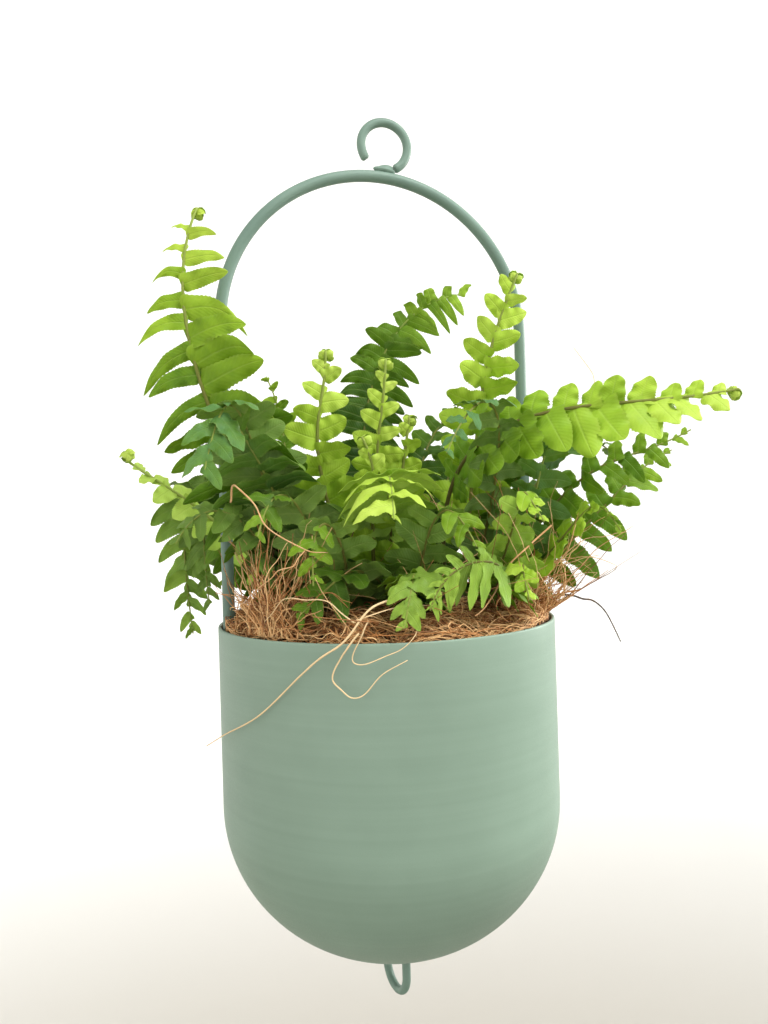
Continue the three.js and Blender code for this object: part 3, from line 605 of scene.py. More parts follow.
def strands(paths, radius, rng, taper=0.5):
    """One mesh of many thin closed strands, each with its own tone."""
    count, steps = paths.shape[:2]
    thick = radius * rng.uniform(0.55, 1.3, (count, 1))
    points, quads = tubes(paths, thick * np.linspace(1, taper, steps))
    return points, quads, {"tone": np.repeat(rng.beta(2.2, 2.0, count), steps * 4)}


def inside_pot(paths, flare=1.6):
    """Pulls low points in, so that strands lean out over the rim and never through the wall."""
    radial = np.linalg.norm(paths[..., :2], axis=-1)
    allowed = MAT_RADIUS + flare * np.maximum(0, paths[..., 2] - LIP_CLEAR)
    scale = np.minimum(1, allowed / np.maximum(radial, 1e-9))
    return paths * places(scale, scale, 1.0)


def mat_bed():
    """The uneven dark bed under the mat's strands."""
    rows, columns = 26, 120
    radius = np.linspace(0.0004, MAT_RADIUS, rows)[:, None]
    turn = around(columns)
    x, y = radius * np.cos(turn), radius * np.sin(turn)
    fuzz = 0.0006 * np.sin(900 * x + 3 * np.sin(700 * y)) * np.sin(800 * y)
    top = places(x, y, mat_height(x, y) - edge_dip(x, y) + fuzz - 0.0012)
    low = top[::-1] * (1, 1, 0) + (0, 0, MAT_LOW)
    bed = np.concatenate([top, low]).reshape(-1, 3)
    return bed, grid_quads(2 * rows, columns, True), {"tone": np.full(len(bed), 0.02)}


def fibre_mat():
    """Matted brown fibre over the root ball, with loose strands that cross the rim."""
    rng = np.random.default_rng(11)
    count = MAT_STRANDS
    spread = MAT_RADIUS * np.sqrt(rng.uniform(0, 1, count))
    start = polar(spread, rng.uniform(0, 2 * math.pi, count), 0.0)
    way = places(rng.normal(size=count), rng.normal(size=count), 0.0)
    paths = wander(rng, start, unit(way), rng.uniform(0.012, 0.042, count), 12, 1.6, 0.7)
    paths = inside_pot(paths, flare=0.0)
    lift = np.abs(rng.normal(0, 0.0016, (count, 1)))
    hump = 0.0018 * np.abs(np.sin(np.linspace(0, 1, 12) * rng.uniform(2, 9, (count, 1))))
    x, y = paths[..., 0], paths[..., 1]
    paths[..., 2] = mat_height(x, y) - edge_dip(x, y) - 0.0006 + lift + hump
    flat = strands(paths, STRAND_RADIUS, rng)

    count = LOOSE_STRANDS
    angle = rng.uniform(-0.85 * math.pi, -0.1 * math.pi, count)
    start = polar(MAT_RADIUS * rng.uniform(0.6, 0.97, count), angle, LOOSE_FLOOR)
    way = rng.normal(0, 1, (count, 3)) * (1.0, 0.35, 0.2) + (0, 0, 0.35)
    loose = wander(rng, start, unit(way), rng.uniform(0.02, 0.055, count), 24, 2.6, 1.2)
    loose[..., 2] = np.maximum(loose[..., 2], LOOSE_FLOOR)
    loose = strands(inside_pot(loose), LOOSE_RADIUS, rng)
    points, quads, fields = joined([mat_bed(), flat, loose])
    piece = build("fibre_mat", points + RIM, quads, fields)
    close_poles(piece)
    return settle(piece, COIR, "coir_mat")


def kept_in(points, count):
    """Moves each of count strands or leaflets that sticks out of the CAD's box back inside."""
    each = points.reshape(count, -1, 3)
    over = np.maximum(0, each.max(1) - BOX_HIGH) - np.maximum(0, BOX_LOW - each.min(1))
    return (each - over[:, None]).reshape(-1, 3)


def tuft(name, node, seed, count, middle, spread, lean, rise, length, curl, flare):
    """A standing tangle of fibre around a point of the mat."""
    rng = np.random.default_rng(seed)
    start = np.zeros((count, 3))
    start[:, :2] = np.array(middle) + rng.normal(0, 1, (count, 2)) * spread
    start[:, 2] = 0.0005
    way = np.array(lean) + rng.normal(0, 1, (count, 3)) * rise
    size = rng.uniform(0, 1, count) ** 1.5 * (length[1] - length[0]) + length[0]
    paths = wander(rng, start, unit(way), size, 20, curl, TUFT_JITTER)
    paths[..., 2] = np.maximum(paths[..., 2], 0.0006)
    points, quads, fields = strands(inside_pot(paths, flare), STRAND_RADIUS, rng, 0.35)
    piece = build(name, kept_in(points, count) + RIM, quads, fields)
    return settle(piece, COIR, node)


# ---- crowns and runners


def crown(name, node, seed):
    """A scaly mound with the stubs of old stalks."""
    rng = np.random.default_rng(seed)
    low, high = (np.array(v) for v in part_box(node))
    centre = np.array([(low[0] + high[0]) / 2, (low[1] + high[1]) / 2, low[2] - 0.001])
    size = np.array([high[0] - low[0], high[1] - low[1], 2 * (high[2] - low[2])]) / 2
    rows, columns = 22, 48
    mound, tilt, turn = ball_grid(rows, columns, math.pi / 2)
    lump = 1 + 0.1 * np.sin(9 * turn + 5 * np.sin(6 * tilt)) * np.sin(5 * tilt)
    bed = (centre + mound * lump[..., None] * size).reshape(-1, 3)
    bed_tone = {"tone": np.full(len(bed), 0.25)}
    count = CROWN_STUBS
    angle = rng.uniform(0, 2 * math.pi, count)
    foot = centre + size * polar(np.sqrt(rng.uniform(0, 0.8, count)), angle, 0.3)
    way = polar(0.5, angle, 1.0)
    stubs = wander(rng, foot, unit(way), rng.uniform(0.004, 0.011, count), 8, 0.4, 0.2)
    points, quads, fields = joined([
        (bed, flipped(grid_quads(rows, columns, True)), bed_tone),
        strands(stubs, STUB_RADIUS, rng, 0.7),
    ])
    piece = build(name, points, quads, fields)
    close_poles(piece)
    return settle(piece, CROWN, node)


# Wiry roots and runners: radius, tone from dark to pale, and the points that they pass, in
# millimetres from the centre of the rim. The first route is the CAD's, and any others are
# finer side roots.
RUNNERS = {
    "runner_long": (0.38, 0.95, [
        [
            (-10, -50, 12.5), (-22, -56, 9.5), (-31, -54.5, -1), (-41, -47, -9),
            (-53, -32.5, -24), (-61, -12, -34), (-65, 4, -41),
        ],
    ]),
    "runner_hook": (0.3, 0.85, [
        [
            (-25, -57.5, 3.5), (-28.5, -56, -0.5), (-30, -55, -4), (-32, -54, -10.5),
            (-29, -56, -13.5), (-25, -57.5, -14.5), (-19, -60, -8.5), (-12, -62, -4.5),
        ],
        [
            (-22, -57.5, 7), (-24.5, -57.5, 3), (-26.3, -56, -5), (-20.7, -58.5, -4.3),
            (-13.7, -60.5, -2), (-9.3, -61.3, 2), (-7.8, -58.5, 6), (-9.5, -55, 8),
        ],
        [
            (-26, -56.5, 7), (-16, -55, 9), (-6, -52, 9.5), (2, -47, 9),
        ],
        [
            (-26, -56.5, 6.5), (-34, -52, 13), (-43, -44, 13), (-49, -36, 6),
        ],
    ]),
    "runner_left": (0.3, 0.55, [
        [
            (-58, -34, 42.5), (-57, -38, 47.5), (-52, -43, 41), (-47, -46, 33), (-38, -47, 27.5),
            (-31, -46, 26.5),
        ],
        [
            (-38, -47, 27.5), (-44, -47, 22.5), (-52, -42, 17), (-55, -38, 8),
        ],
    ]),
    "runner_rim": (0.34, 0.5, [
        [
            (47.5, -38, 32), (37.5, -42, 26), (29, -46, 20.5), (21, -51, 13), (16, -54, 8),
            (11.5, -56.5, 6),
        ],
    ]),
    "runner_right": (0.46, 0, [
        [
            (56, -8, 3.5), (65, -10, 5.5), (73.5, -12, 4), (81, -14, -0.5), (86.5, -16, -13),
        ],
    ]),
    "runner_high": (0.24, 0.75, [
        [
            (70, -24, 62), (75, -24, 76), (73, -22, 88), (68, -20, 96),
        ],
    ]),
}


def runner(name, radius_mm, tone, routes, seed):
    """A long root with its side roots."""
    rng = np.random.default_rng(seed)
    fade = np.sin(np.linspace(0, math.pi, RUNNER_STEPS))[:, None]
    paths = []
    for route in routes:
        wobble = rng.normal(0, 1, (9, 3)) * RUNNER_WOBBLE
        way = smooth_path(np.array(route) / 1000, RUNNER_STEPS)
        paths.append(way + smooth_path(wobble, RUNNER_STEPS) * fade)
    knots = 1 + 0.08 * np.sin(np.arange(RUNNER_STEPS) * 1.7)
    girth = radius_mm / 1000 * np.linspace(1, 0.45, RUNNER_STEPS) * knots
    finer = np.where(np.arange(len(routes)) == 0, 1.0, SIDE_ROOT_SHARE)[:, None]
    points, quads = tubes(np.array(paths) + RIM, finer * girth, 8)
    piece = build(f"{name}_root", points, quads, {"tone": np.full(len(points), tone)})
    return settle(piece, ROOT, name)


# ---- fronds

RIGHTWARD, LEFTWARD = (1, -0.3, 0), (-1, 0.3, 0)
DEEP, GREEN, LIME = LEAF_RAMP

# stalk is its foot on a crown, two points on the way and its tip, in millimetres from the
# centre of the rim, as in the CAD. leaf and pitch are the longest leaflet and the distance
# between leaflets of one side, in millimetres. age is the tone at the foot and at the tip,
# from old (0) to new (1). side is the way the right-hand leaflets spread. sag is how far
# leaflets hang and stout how wide they are, as shares of their length, and taper is what the
# last one lacks of the longest. bare is the stalk's share without leaflets, bias makes
# right-hand ones longer, lean turns tip ones forward, roll tilts them about their midribs
# like shingles (in radians) and the sheen share is how much painted sheen, a blue-green cast
# of reflected light, their leaves get. A young frond is curled at its tip. frond() says what
# isn't given here.
FRONDS = {
    "tall_left": dict(
        stalk=[(-27, 4), (-53, -11, 52), (-68, -12, 98), (-64, -6, 141)],
        leaf=26.5, pitch=9, slot=GREEN, age=(0.1, 1), sag=0.48, stout=0.34, taper=0.7, bias=0.22,
        bare=0.16, lean=0.2, roll=0.15, curled=True,
    ),
    "big_left": dict(
        stalk=[(-22, -6), (-37, -16, 34), (-47, -26, 53), (-57, -29, 70)],
        leaf=28, pitch=7.8, slot=DEEP, age=(0.35, 0.6), sag=0.42, stout=0.3, bias=0.1, roll=0.4,
        painted_sheen=0.2,
    ),
    "left_over": dict(
        stalk=[(-31, -3), (-47, -22, 53), (-57, -35, 72), (-66, -43, 52)],
        leaf=18, pitch=7.8, slot=DEEP, age=(0.2, 0.75), side=LEFTWARD, sag=0.25, taper=0.5,
        painted_sheen=0.6,
    ),
    "crozier_left": dict(
        stalk=[(-34, 3), (-53, 11, 30), (-71, 12, 46), (-89, 13, 59)],
        leaf=11, pitch=8.5, slot=LIME, age=(0.5, 0.9), side=(0.3, -0.6, -1), sag=0.1, bare=0.2,
        curled=True,
    ),
    "droop_left": dict(
        stalk=[(-32, 9), (-56, 24, 44), (-68, 34, 43), (-67, 34, -6)],
        leaf=18, pitch=6.6, slot=GREEN, age=(0.2, 0.6), sag=0.3,
    ),
    "side_left": dict(
        stalk=[(-28, 11), (-50, 20, 50), (-61, 26, 48), (-61, 28, 6)],
        leaf=17, pitch=6.6, slot=DEEP, age=(0.15, 0.6), sag=0.3,
    ),
    "low_left": dict(
        stalk=[(-19, -9), (-23, -33, 25), (-31, -41, 35), (-36, -48, 17)],
        leaf=14, pitch=8.5, slot=GREEN, age=(0.1, 0.6), side=LEFTWARD, sag=0.15,
    ),
    "mid_left": dict(
        stalk=[(-27, -8), (-29, -23, 23), (-39, -32, 43), (-51, -41, 32)],
        leaf=16, pitch=8, slot=DEEP, age=(0.2, 0.7), side=LEFTWARD,
    ),
    "back_left": dict(
        stalk=[(-22, 11), (-29, 28, 48), (-30, 36, 72), (-36, 36, 93)],
        leaf=14, pitch=8, slot=GREEN, age=(0.1, 0.7),
    ),
    "young_left": dict(
        stalk=[(-7, 2), (-23, -4, 50), (-24, -6, 73), (-21, -6, 94)],
        leaf=15.5, pitch=8.8, slot=LIME, age=(0.2, 0.95), sag=0.08, stout=0.62, bare=0.16,
        curled=True,
    ),
    "young_mid": dict(
        stalk=[(-1, 0), (-4, -7, 49), (-3, -10, 70), (-1, -12, 90)],
        leaf=12.5, pitch=8.2, slot=LIME, age=(0.2, 0.95), sag=0.08, stout=0.62, bare=0.16,
        curled=True,
    ),
    "small_left": dict(
        stalk=[(-5, -5), (-10, -22, 35), (-11, -28, 50), (-14, -29, 61)],
        leaf=11, pitch=7.5, slot=LIME, age=(0.2, 0.85), sag=0.08, bare=0.16, curled=True,
    ),
    "small_mid": dict(
        stalk=[(9, 0), (5, -7, 38), (5, -10, 55), (7, -12, 70)],
        leaf=12, pitch=7.5, slot=LIME, age=(0.2, 0.85), sag=0.08, bare=0.16, curled=True,
    ),
    "dark_back": dict(
        stalk=[(2, 12), (0, 25, 67), (15, 27, 109), (42, 21, 125)],
        leaf=18, pitch=5.4, slot=DEEP, age=(-0.2, 1), sag=0.4, stout=0.38, taper=0.5, bare=0.12,
        lean=0.3, roll=0.3,
    ),
    "lime_front": dict(
        stalk=[(2, -6), (-6, -28, 39), (-12, -49, 49), (-16, -66, 36)],
        leaf=20, pitch=7, slot=LIME, age=(0.1, 0.85), side=LEFTWARD, sag=0.55, stout=0.42,
        taper=0.4, lean=0.1,
    ),
    "young_right": dict(
        stalk=[(31, 7), (36, -2, 60), (40, -7, 93), (50, -12, 123)],
        leaf=18, pitch=8.8, slot=LIME, age=(0.3, 0.85), sag=0.06, stout=0.6, bare=0.16,
        curled=True,
    ),
    "long_right": dict(
        stalk=[(25, 1), (25, -22, 57), (56, -45, 71), (104, -61, 75)],
        leaf=16.5, pitch=9, slot=LIME, age=(0, 0.85), side=(0, -0.5, -0.85), sag=0.1, bias=0.18,
        bare=0.3, curled=True,
    ),
    "front_hang": dict(
        stalk=[(28, -6), (31, -34, 58), (20, -48, 72), (3, -59, 55)],
        leaf=14, pitch=8.2, slot=DEEP, age=(0.2, 0.6), side=LEFTWARD, sag=0.4, painted_sheen=0.7,
    ),
    "right_up": dict(
        stalk=[(38, 2), (61, -24, 43), (79, -33, 55), (102, -40, 64)],
        leaf=16, pitch=8.8, slot=GREEN, age=(0, 0.7), side=(0, -0.6, -1), sag=0.25,
    ),
    "right_olive": dict(
        stalk=[(42, -2), (78, -14, 34), (96, -13, 49), (114, -12, 59)],
        leaf=16, pitch=8.8, slot=GREEN, age=(0.1, 0.6), side=(0, -0.6, -1), sag=0.25,
    ),
    "right_low": dict(
        stalk=[(41, -6), (52, -36, 27), (60, -44, 38), (65, -52, 30)],
        leaf=11, pitch=8, slot=LIME, age=(0.2, 0.6), side=(0, -1, 0), sag=0.15,
    ),
    "right_mid": dict(
        stalk=[(35, -3), (43, -29, 35), (47, -34, 53), (53, -38, 67)],
        leaf=17, pitch=8.5, slot=DEEP, age=(0.3, 0.8), painted_sheen=0.4,
    ),
    "small_right": dict(
        stalk=[(34, -10), (28, -50, 33), (28, -58, 43), (30, -67, 34)],
        leaf=11, pitch=7.5, slot=LIME, age=(0.1, 0.6), side=LEFTWARD,
    ),
    "spike_right": dict(
        stalk=[(29, -12), (32, -42, 16), (31, -50, 20), (29, -58, 10)],
        leaf=11, pitch=7.5, slot=LIME, age=(0.1, 0.6), side=LEFTWARD,
    ),
    "rim_front": dict(
        stalk=[(22, -7), (26, -45, 17), (12, -55, 22), (-4, -60, 9)],
        leaf=12.5, pitch=4.2, slot=LIME, age=(0, 0.45), side=(0.7, 0.15, -0.7), sag=0.25,
        stout=0.34, bias=0.15, bare=0.3,
    ),
    "mid_front": dict(
        stalk=[(8, -7), (3, -32, 20), (5, -45, 37), (12, -58, 27)],
        leaf=15, pitch=8.2, slot=GREEN, age=(0.1, 0.6), side=LEFTWARD,
    ),
    "mid_right": dict(
        stalk=[(36, 10), (67, 3, 52), (91, 9, 65), (112, 7, 48)],
        leaf=15, pitch=8.2, slot=DEEP, age=(0.1, 0.6), side=(0, -1, 0), painted_sheen=0.3,
    ),
    "mid_back": dict(
        stalk=[(9, 11), (21, 19, 54), (33, 26, 73), (43, 27, 83)],
        leaf=15, pitch=8, slot=DEEP, age=(0, 0.6),
    ),
    "back_low": dict(
        stalk=[(-2, 14), (6, 34, 43), (7, 46, 58), (2, 58, 35)],
        leaf=17, pitch=8.2, slot=GREEN, age=(0.1, 0.7),
    ),
    "back_mid": dict(
        stalk=[(14, 8), (30, 22, 42), (47, 32, 64), (58, 42, 42)],
        leaf=17, pitch=8.2, slot=DEEP, age=(0.1, 0.7),
    ),
    "far_left": dict(
        stalk=[(-17, 13), (-23, 40, 36), (-30, 52, 54), (-44, 60, 40)],
        leaf=17, pitch=8.2, slot=DEEP, age=(0.1, 0.7),
    ),
    "back_droop": dict(
        stalk=[(-10, 12), (-12, 36, 30), (-16, 50, 40), (-22, 62, 18)],
        leaf=13, pitch=8, slot=GREEN, age=(0.2, 0.8),
    ),
    "front_fill": dict(
        stalk=[(4, -9), (-16, -33, 19), (-28, -40, 17), (-40, -41, 7)],
        leaf=17, pitch=6.8, slot=DEEP, age=(0.2, 0.6), side=LEFTWARD,
    ),
    "right_fill": dict(
        stalk=[(38, -1), (47, -16, 52), (52, -19, 66), (56, -22, 78)],
        leaf=14, pitch=8, slot=DEEP, age=(0.2, 0.7),
    ),
    "left_fill": dict(
        stalk=[(-33, -5), (-46, -14, 28), (-60, -16, 40), (-74, -16, 30)],
        leaf=15, pitch=7.5, slot=DEEP, age=(0.2, 0.7), side=(0.2, -0.6, -1),
    ),
    "front_low": dict(
        stalk=[(11, -9), (0, -35, 14.5), (-5.5, -50, 18.5), (-12, -60, 4.5)],
        leaf=14.5, pitch=5.8, slot=GREEN, age=(0.3, 0.7), sag=0.25, stout=0.6,
    ),
    "back_dip_left": dict(
        stalk=[(-15, 8), (-34, 30, 24), (-44, 42, 28), (-54, 50, 10)],
        leaf=15, pitch=7.8, slot=GREEN, age=(0.2, 0.7),
    ),
    "back_dip_right": dict(
        stalk=[(24, 9), (30, 33, 28), (32, 46, 34), (36, 58, 14)],
        leaf=15, pitch=7.8, slot=GREEN, age=(0.2, 0.7),
    ),
}

LEAF_ROWS = 31
LEAF_ACROSS = np.array([-1.0, -0.66, -0.3, 0.0, 0.3, 0.66, 1.0])
LEAF_HALF_THICK = 0.00011
LEAF_OVERLAP = 1.25
LEAF_WAVE = 0.2
LEAF_TEETH = 0.05
LEAF_TWIST = 0.2
LEAF_SHORTEST = 0.003
STALK_RADIUS = 0.00062
STALK_STEPS = 121
STALK_SIDES = 8
CURL_RADIUS = 0.0019
COIL_TURN = 2.4 * math.pi
COIL_FREE = 0.003  # the stalk's length before its coil that has no leaflets
BUDS = 12
BUD_LENGTH = (0.0022, 0.0036)


def stalk_path(stalk, count):
    """Evenly spaced points of the cubic curve through the stalk's four, and its length."""
    foot, p1, p2, p3 = (np.array(point) / 1000 for point in stalk)
    p0 = np.array([*foot, mat_height(*foot) + 0.001])
    c1 = (-5 * p0 + 18 * p1 - 9 * p2 + 2 * p3) / 6
    c2 = (2 * p0 - 9 * p1 + 18 * p2 - 5 * p3) / 6
    t = np.linspace(0, 1, 240)[:, None]
    fine = (1 - t) ** 3 * p0 + 3 * (1 - t) ** 2 * t * c1 + 3 * (1 - t) * t**2 * c2 + t**3 * p3
    gone = np.concatenate([[0], np.cumsum(np.linalg.norm(np.diff(fine, axis=0), axis=1))])
    even = np.linspace(0, gone[-1], count)
    return np.stack([np.interp(even, gone, fine[:, k]) for k in range(3)], -1), gone[-1]


def blade(rng, base, out, ahead, up, length, width, ages, sag, wave, curl=0.0, painted_sheen=0.0):
    """Leaflets as closed thin blades. Each row of the arrays is one leaflet."""
    count = len(base)
    u = np.linspace(0, 1, LEAF_ROWS)[None, :, None]
    v = LEAF_ACROSS[None, None, :]
    young = np.clip(ages, 0, 1)[:, None, None]
    power = 4.2 - 1.2 * young
    outline = (1 - 0.985 * u**power) ** (0.6 + 0.15 * young)
    outline = outline * (0.5 + 0.5 * np.clip(u / 0.08, 0, 1) ** 0.6)
    ear = (0.22 + 0.1 * young) * np.exp(-((u / 0.16) ** 2)) * (v > 0)
    teeth = np.where(np.arange(LEAF_ROWS) % 2 == 0, LEAF_TEETH, -LEAF_TEETH)[None, :, None]
    teeth = teeth * np.sin(np.pi * np.clip(u * 1.02, 0, 1)) * (np.abs(v) > 0.99)
    half = width[:, None, None] / 2 * (outline + ear) * (1 + teeth)
    long = length[:, None, None]
    sickle = rng.uniform(0.02, 0.14, (count, 1, 1)) + 0.05 * (1 - young)
    phase = rng.uniform(0, 2 * np.pi, (count, 1, 1))
    beats = rng.uniform(1.6, 2.8, (count, 1, 1))
    ripple = wave * half * v**2 * np.sin(2 * np.pi * beats * u + phase + 1.4 * np.sign(v))
    cup = rng.normal(0.12, 0.1, (count, 1, 1))
    y = v * half + sickle * long * u**2
    z = ripple - cup * half * v**2 - 0.05 * half * np.exp(-((v / 0.16) ** 2))
    z = z + 0.03 * long * np.sin(np.pi * u) * rng.uniform(-1, 2, (count, 1, 1))
    twist = rng.normal(0, LEAF_TWIST, (count, 1, 1)) * u
    y, z = y * np.cos(twist) - z * np.sin(twist), y * np.sin(twist) + z * np.cos(twist)
    x = long * (u - 0.04 * u**3) - 0.0006
    if curl:
        bend = curl * u
        x = long * np.sin(bend) / curl + 0 * z
        z = z * np.cos(bend) - long * (1 - np.cos(bend)) / curl
    middle = base[:, None, None] + out[:, None, None] * x[..., None]
    middle = middle + ahead[:, None, None] * y[..., None] + up[:, None, None] * z[..., None]
    hang = sag * rng.uniform(0.4, 1.5, (count, 1, 1)) * long * u**2 * (0.5 + 0.5 * u)
    middle[..., 2] -= np.broadcast_to(hang, middle.shape[:3])
    thick = LEAF_HALF_THICK * (1 - 0.6 * np.abs(v) ** 3) + 0 * u
    shift = up[:, None, None] * thick[..., None]
    points = np.stack([middle + shift, middle - shift], 1)
    # Age tone with painted shade: each leaflet darker at its foot by the stalk, paler towards
    # its tip.
    tone = ages[:, None, None] + 0.12 * (u - 0.4)
    top_and_under = {
        "along": (u, u), "across": (np.abs(v), np.abs(v)), "age": (tone, tone),
        "under": (0.0, 1.0), "stalk": (0.0, 0.0), "painted_sheen": (painted_sheen, painted_sheen),
    }
    shape = middle.shape[:3]
    fields = {
        key: np.stack([np.broadcast_to(values, shape) for values in pair], 1).ravel()
        for key, pair in top_and_under.items()
    }
    return points.reshape(-1, 3), leaf_quads(count), fields


def fix_hands(made, sign):
    """Turns the faces of right-hand blades round, so that they point out on both sides."""
    points, quads, fields = made
    each = len(quads) // len(sign)
    quads = quads.reshape(len(sign), each, 4).copy()
    turned_round = sign > 0
    quads[turned_round] = quads[turned_round][:, :, ::-1]
    return points, quads.reshape(-1, 4), fields


def leaf_quads(count):
    """Faces of count blades: top, underside and the narrow edge between them."""
    rows, columns = LEAF_ROWS, len(LEAF_ACROSS)
    size = rows * columns
    top = grid_quads(rows, columns)
    low = flipped(top + size)
    left = np.arange(rows) * columns
    right = left + columns - 1
    front = np.arange(columns)
    back = front + size - columns

    def edge(line):
        return np.stack([line[:-1], line[1:], line[1:] + size, line[:-1] + size], -1)

    one = np.concatenate([
        top, low, edge(left), flipped(edge(right)), flipped(edge(front)), edge(back),
    ])
    return (one[None] + np.arange(count)[:, None, None] * 2 * size).reshape(-1, 4)


def leaf_share(along, taper):
    """Share of the longest leaflet, from the stalk's foot (0) to its tip (1)."""
    return np.minimum(1, 0.62 + 1.6 * along) * (1 - taper * along**3)


def hands(count):
    """Right (1) and left (-1) in turn."""
    return np.where(np.arange(count) % 2 == 0, 1.0, -1.0)


def coil(end, up, along):
    """A young tip's coil from the stalk's end, and its centre."""
    turns = np.linspace(0, COIL_TURN, 34)[1:]
    radius = CURL_RADIUS * np.linspace(1, 0.28, len(turns))
    centre = end - up * CURL_RADIUS
    across = up * (np.cos(turns) * radius)[:, None] + along * (np.sin(turns) * radius)[:, None]
    return centre + across, centre


def buds(rng, centre, up, along, side, tone):
    """The small folded leaflets round a coiled tip."""
    angle = np.linspace(0.2, 1, BUDS) * 2.1 * math.pi
    spot = centre + (
        up * np.cos(angle)[:, None] + along * np.sin(angle)[:, None]
    ) * (CURL_RADIUS * np.linspace(1, 0.5, BUDS))[:, None]
    hand = hands(BUDS)[:, None]
    outward = unit(spot - centre)
    forward = unit(np.cross(np.broadcast_to(side, (BUDS, 3)), outward)) * -1
    way = unit(hand * side * 0.9 + outward * 0.5 + forward * 0.5)
    across = unit(forward - way * np.sum(forward * way, -1, keepdims=True))
    facing = np.cross(hand * way, across)
    small = rng.uniform(*BUD_LENGTH, BUDS)
    made = blade(
        rng, spot, way, across, facing, small, small * 0.8, np.full(BUDS, tone), 0.0, 0.1,
        curl=1.6,
    )
    return fix_hands(made, hand.ravel())


def frond(name, seed, stalk, leaf, pitch, slot, age, side=RIGHTWARD, sag=0.2, stout=None,
          taper=None, bias=0.0, bare=0.05, lean=0.55, roll=0.2, painted_sheen=0.0, curled=False):
    """One frond: its stalk, its leaflets and, on a young one, its coiled tip."""
    rng = np.random.default_rng(seed)
    leaf, pitch = leaf / 1000, pitch / 1000
    if taper is None:
        taper = 0.6 if curled else 0.76
    if stout is None:
        stout = 0.78 if slot == LIME else 0.5
    path, length = stalk_path(stalk, STALK_STEPS)
    along = unit(np.gradient(path, axis=0))
    side = unit(np.array(side, float) - along * (along @ np.array(side))[:, None])
    up = np.cross(side, along)

    line = path
    if curled:
        turns, centre = coil(path[-1], up[-1], along[-1])
        line = np.vstack([path, turns])
    share = np.linspace(0, 1, len(line))
    girth = STALK_RADIUS * (1.15 - 0.75 * share) * (1.25 if curled else 1.0)
    guide = np.vstack([side, np.broadcast_to(side[-1], (len(line) - STALK_STEPS, 3))])
    points, quads = tubes(line[None], girth[None], STALK_SIDES, normal=guide[None])
    low_age, high_age = age
    tone = np.repeat(low_age + (high_age - low_age) * share**1.3, STALK_SIDES)
    none, full = np.zeros(len(points)), np.ones(len(points))
    parts = [(points, quads, {
        "along": none, "across": full, "age": tone, "under": none, "stalk": full, "painted_sheen": none,
    })]

    bare = bare * length
    end = length - (COIL_FREE if curled else 0.0)
    count = 2 * int(round((end - bare) / pitch))
    at = bare + (end - bare) * (np.arange(count) + 0.5) / count
    at = at + rng.normal(0, 0.08 * pitch, count)
    pick = np.clip(at / length, 0, 1) * (STALK_STEPS - 1)

    def take(table):
        """The table's values at the leaflets' places."""
        steps = np.arange(STALK_STEPS)
        return np.stack([np.interp(pick, steps, column) for column in table.T], -1)

    p, t, s = take(path), unit(take(along)), unit(take(side))
    n = np.cross(s, t)
    sign = hands(count)[:, None]
    leafy = (at - bare) / (end - bare)
    forward = (0.12 + lean * leafy**2.5 + rng.normal(0, 0.09, count))[:, None]
    lift = rng.normal(0.12, 0.16, count)[:, None]
    out = unit(sign * s + t * forward + n * lift)
    ahead = unit(t - out * np.sum(t * out, -1, keepdims=True))
    face = np.cross(sign * out, ahead)
    tilt = rng.normal(roll, 0.2, count)[:, None]
    ahead, face = (
        ahead * np.cos(tilt) + face * np.sin(tilt),
        face * np.cos(tilt) - ahead * np.sin(tilt),
    )
    size = leaf * leaf_share(leafy, taper) * rng.uniform(0.88, 1.08, count)
    size = size * (1 + bias * sign.ravel())
    room = np.where(out > 0, BOX_HIGH - p, p - BOX_LOW) / np.maximum(np.abs(out), 1e-6)
    size = np.minimum(size, np.maximum(0.9 * room.min(-1), LEAF_SHORTEST))
    width = np.minimum(pitch * LEAF_OVERLAP, stout * size) * rng.uniform(0.9, 1.1, count)
    ages = low_age + (high_age - low_age) * leafy**1.2 + rng.normal(0, 0.06, count)
    made = blade(rng, p, out, ahead, face, size, width, ages, sag, LEAF_WAVE, painted_sheen=painted_sheen)
    parts.append(fix_hands((kept_in(made[0], count), *made[1:]), sign.ravel()))
    if curled:
        parts.append(buds(rng, centre, up[-1], along[-1], side[-1], high_age))

    points, quads, fields = joined(parts)
    piece = build(f"{name}_leaves", points + RIM, quads, fields, sharp_deg=50)
    return settle(piece, LEAVES[slot], name)


# ---- object

pot()
arch()
ring()
loop()
weld("ring_bead", "ring_weld", 1.25, 3)
weld("loop_bead_front", "loop_weld_front", 1.3, 4)
weld("loop_bead_back", "loop_weld_back", 1.3, 5)
weld("leg_bead_left", "leg_weld_left", 1.0, 6)
weld("leg_bead_right", "leg_weld_right", 1.0, 7)
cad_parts["root_ball"].data.materials.clear()
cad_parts["root_ball"].data.materials.append(MIX)
fibre_mat()
tuft(
    "left_tuft", "fibre_tuft_left", 21, count=360, middle=(-0.0448, -0.026),
    spread=(0.0040, 0.0070), lean=(0.03, -0.02, 1.0), rise=(0.07, 0.07, 0.1),
    length=(0.008, 0.045), curl=1.6, flare=0.3,
)
tuft(
    "right_tuft", "fibre_tuft_right", 22, count=260, middle=(0.041, -0.024),
    spread=(0.0075, 0.0060), lean=(0.5, -0.12, 1.0), rise=(0.2, 0.12, 0.15),
    length=(0.012, 0.062), curl=1.2, flare=1.6,
)
for number, node in enumerate(("crown_left", "crown_middle", "crown_right")):
    crown(f"{node}_scales", node, 31 + number)
for number, (name, (radius, tone, routes)) in enumerate(RUNNERS.items()):
    runner(name, radius, tone, routes, 41 + number)
for number, (name, spec) in enumerate(FRONDS.items()):
    frond(f"frond_{name}", 61 + number, **spec)

# ---- stage

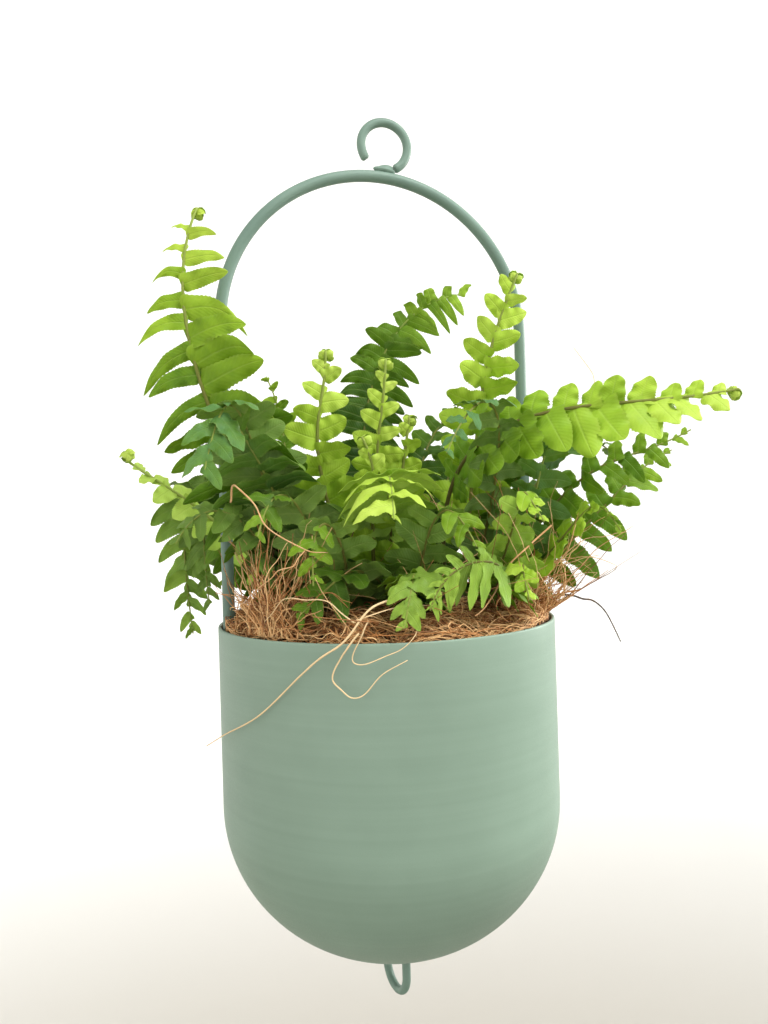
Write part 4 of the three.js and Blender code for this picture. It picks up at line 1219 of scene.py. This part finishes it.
# Lamps: name, place from the rim's centre, width and power.
LAMPS = (
    ("top", (0.35, -0.55, 1.0), 0.6, 13.0),
    ("side", (1.1, 0.1, 0.35), 0.6, 13.0),
)
WORLD_LIGHT = 0.6
WALL_GLOW = 0.28
FLOOR_DROP = 1.25
BOWL_RADIUS = 2.1
BOWL_BEND = 0.8
WALL_HEIGHT = 3.6
SHADE_RADIUS = 0.3  # the floor gets paler from here outwards


def studio():
    """A pale floor that rises into a wall all round, and large soft lamps."""
    bend_start = BOWL_RADIUS - BOWL_BEND
    floor_z = RIM[2] - FLOOR_DROP
    profile = [[x, 0.0] for x in np.linspace(0.0001, bend_start, 8)]
    for a in np.linspace(0, math.pi / 2, 16)[1:]:
        profile.append([bend_start + BOWL_BEND * math.sin(a), BOWL_BEND * (1 - math.cos(a))])
    profile.append([BOWL_RADIUS, WALL_HEIGHT])
    backdrop = turned("studio_floor", profile, 96, (0.0, 0.0, floor_z))
    n = Nodes("studio_paint")
    spot = n.add("ShaderNodeSeparateXYZ")
    n.put(n.place(), spot.inputs[0])
    rise = n.range(spot.outputs["Z"], floor_z + 0.02, floor_z + BOWL_BEND, 0, 1)
    reach = n.math("POWER", spot.outputs["X"], 2.0)
    reach = n.math("SQRT", n.plus(reach, n.math("POWER", spot.outputs["Y"], 2.0)))
    reach = n.range(reach, SHADE_RADIUS, bend_start, 0, 0.2)
    colour = n.ramp(n.plus(reach, n.times(rise, 0.8)), [
        (0.0, srgb(132, 127, 118)), (0.2, srgb(196, 191, 181)), (0.75, srgb(248, 248, 246)),
    ])
    glow = n.times(rise, WALL_GLOW)
    paint = n.surface(colour, 0.9, Emission_Color=(1.0, 1.0, 0.99, 1.0))
    n.put(glow, paint.node.inputs["Emission Strength"])
    backdrop.data.materials.append(n.finish(paint))

    world = bpy.data.worlds.new("studio_air")
    bpy.context.scene.world = world
    world.use_nodes = True
    background = world.node_tree.nodes["Background"]
    background.inputs["Color"].default_value = (1.0, 1.0, 1.0, 1)
    background.inputs["Strength"].default_value = WORLD_LIGHT

    for name, offset, size, power in LAMPS:
        lamp = bpy.data.lights.new(name, "AREA")
        lamp.shape = "DISK"
        lamp.size = size
        lamp.energy = power
        holder = bpy.data.objects.new(name, lamp)
        holder.location = Vector(RIM) + Vector(offset)
        holder.rotation_euler = (-Vector(offset)).to_track_quat("-Z", "Y").to_euler()
        bpy.context.scene.collection.objects.link(holder)


def camera():
    data = bpy.data.cameras.new("camera")
    data.sensor_width = SENSOR_MM
    data.lens = SENSOR_MM * CAMERA_FOCAL_SHARE
    data.clip_start = 0.01
    holder = bpy.data.objects.new("camera", data)
    holder.location = Vector(RIM) + Vector(CAMERA_FROM_RIM)
    turn = Matrix.Rotation(math.radians(CAMERA_YAW_DEG), 4, "Z")
    turn = turn @ Matrix.Rotation(math.pi / 2, 4, "X")
    turn = turn @ Matrix.Rotation(math.radians(CAMERA_ROLL_DEG), 4, "Z")
    holder.rotation_euler = turn.to_euler()
    bpy.context.scene.collection.objects.link(holder)
    bpy.context.scene.camera = holder


studio()
camera()
bpy.context.scene.view_settings.view_transform = "Standard"
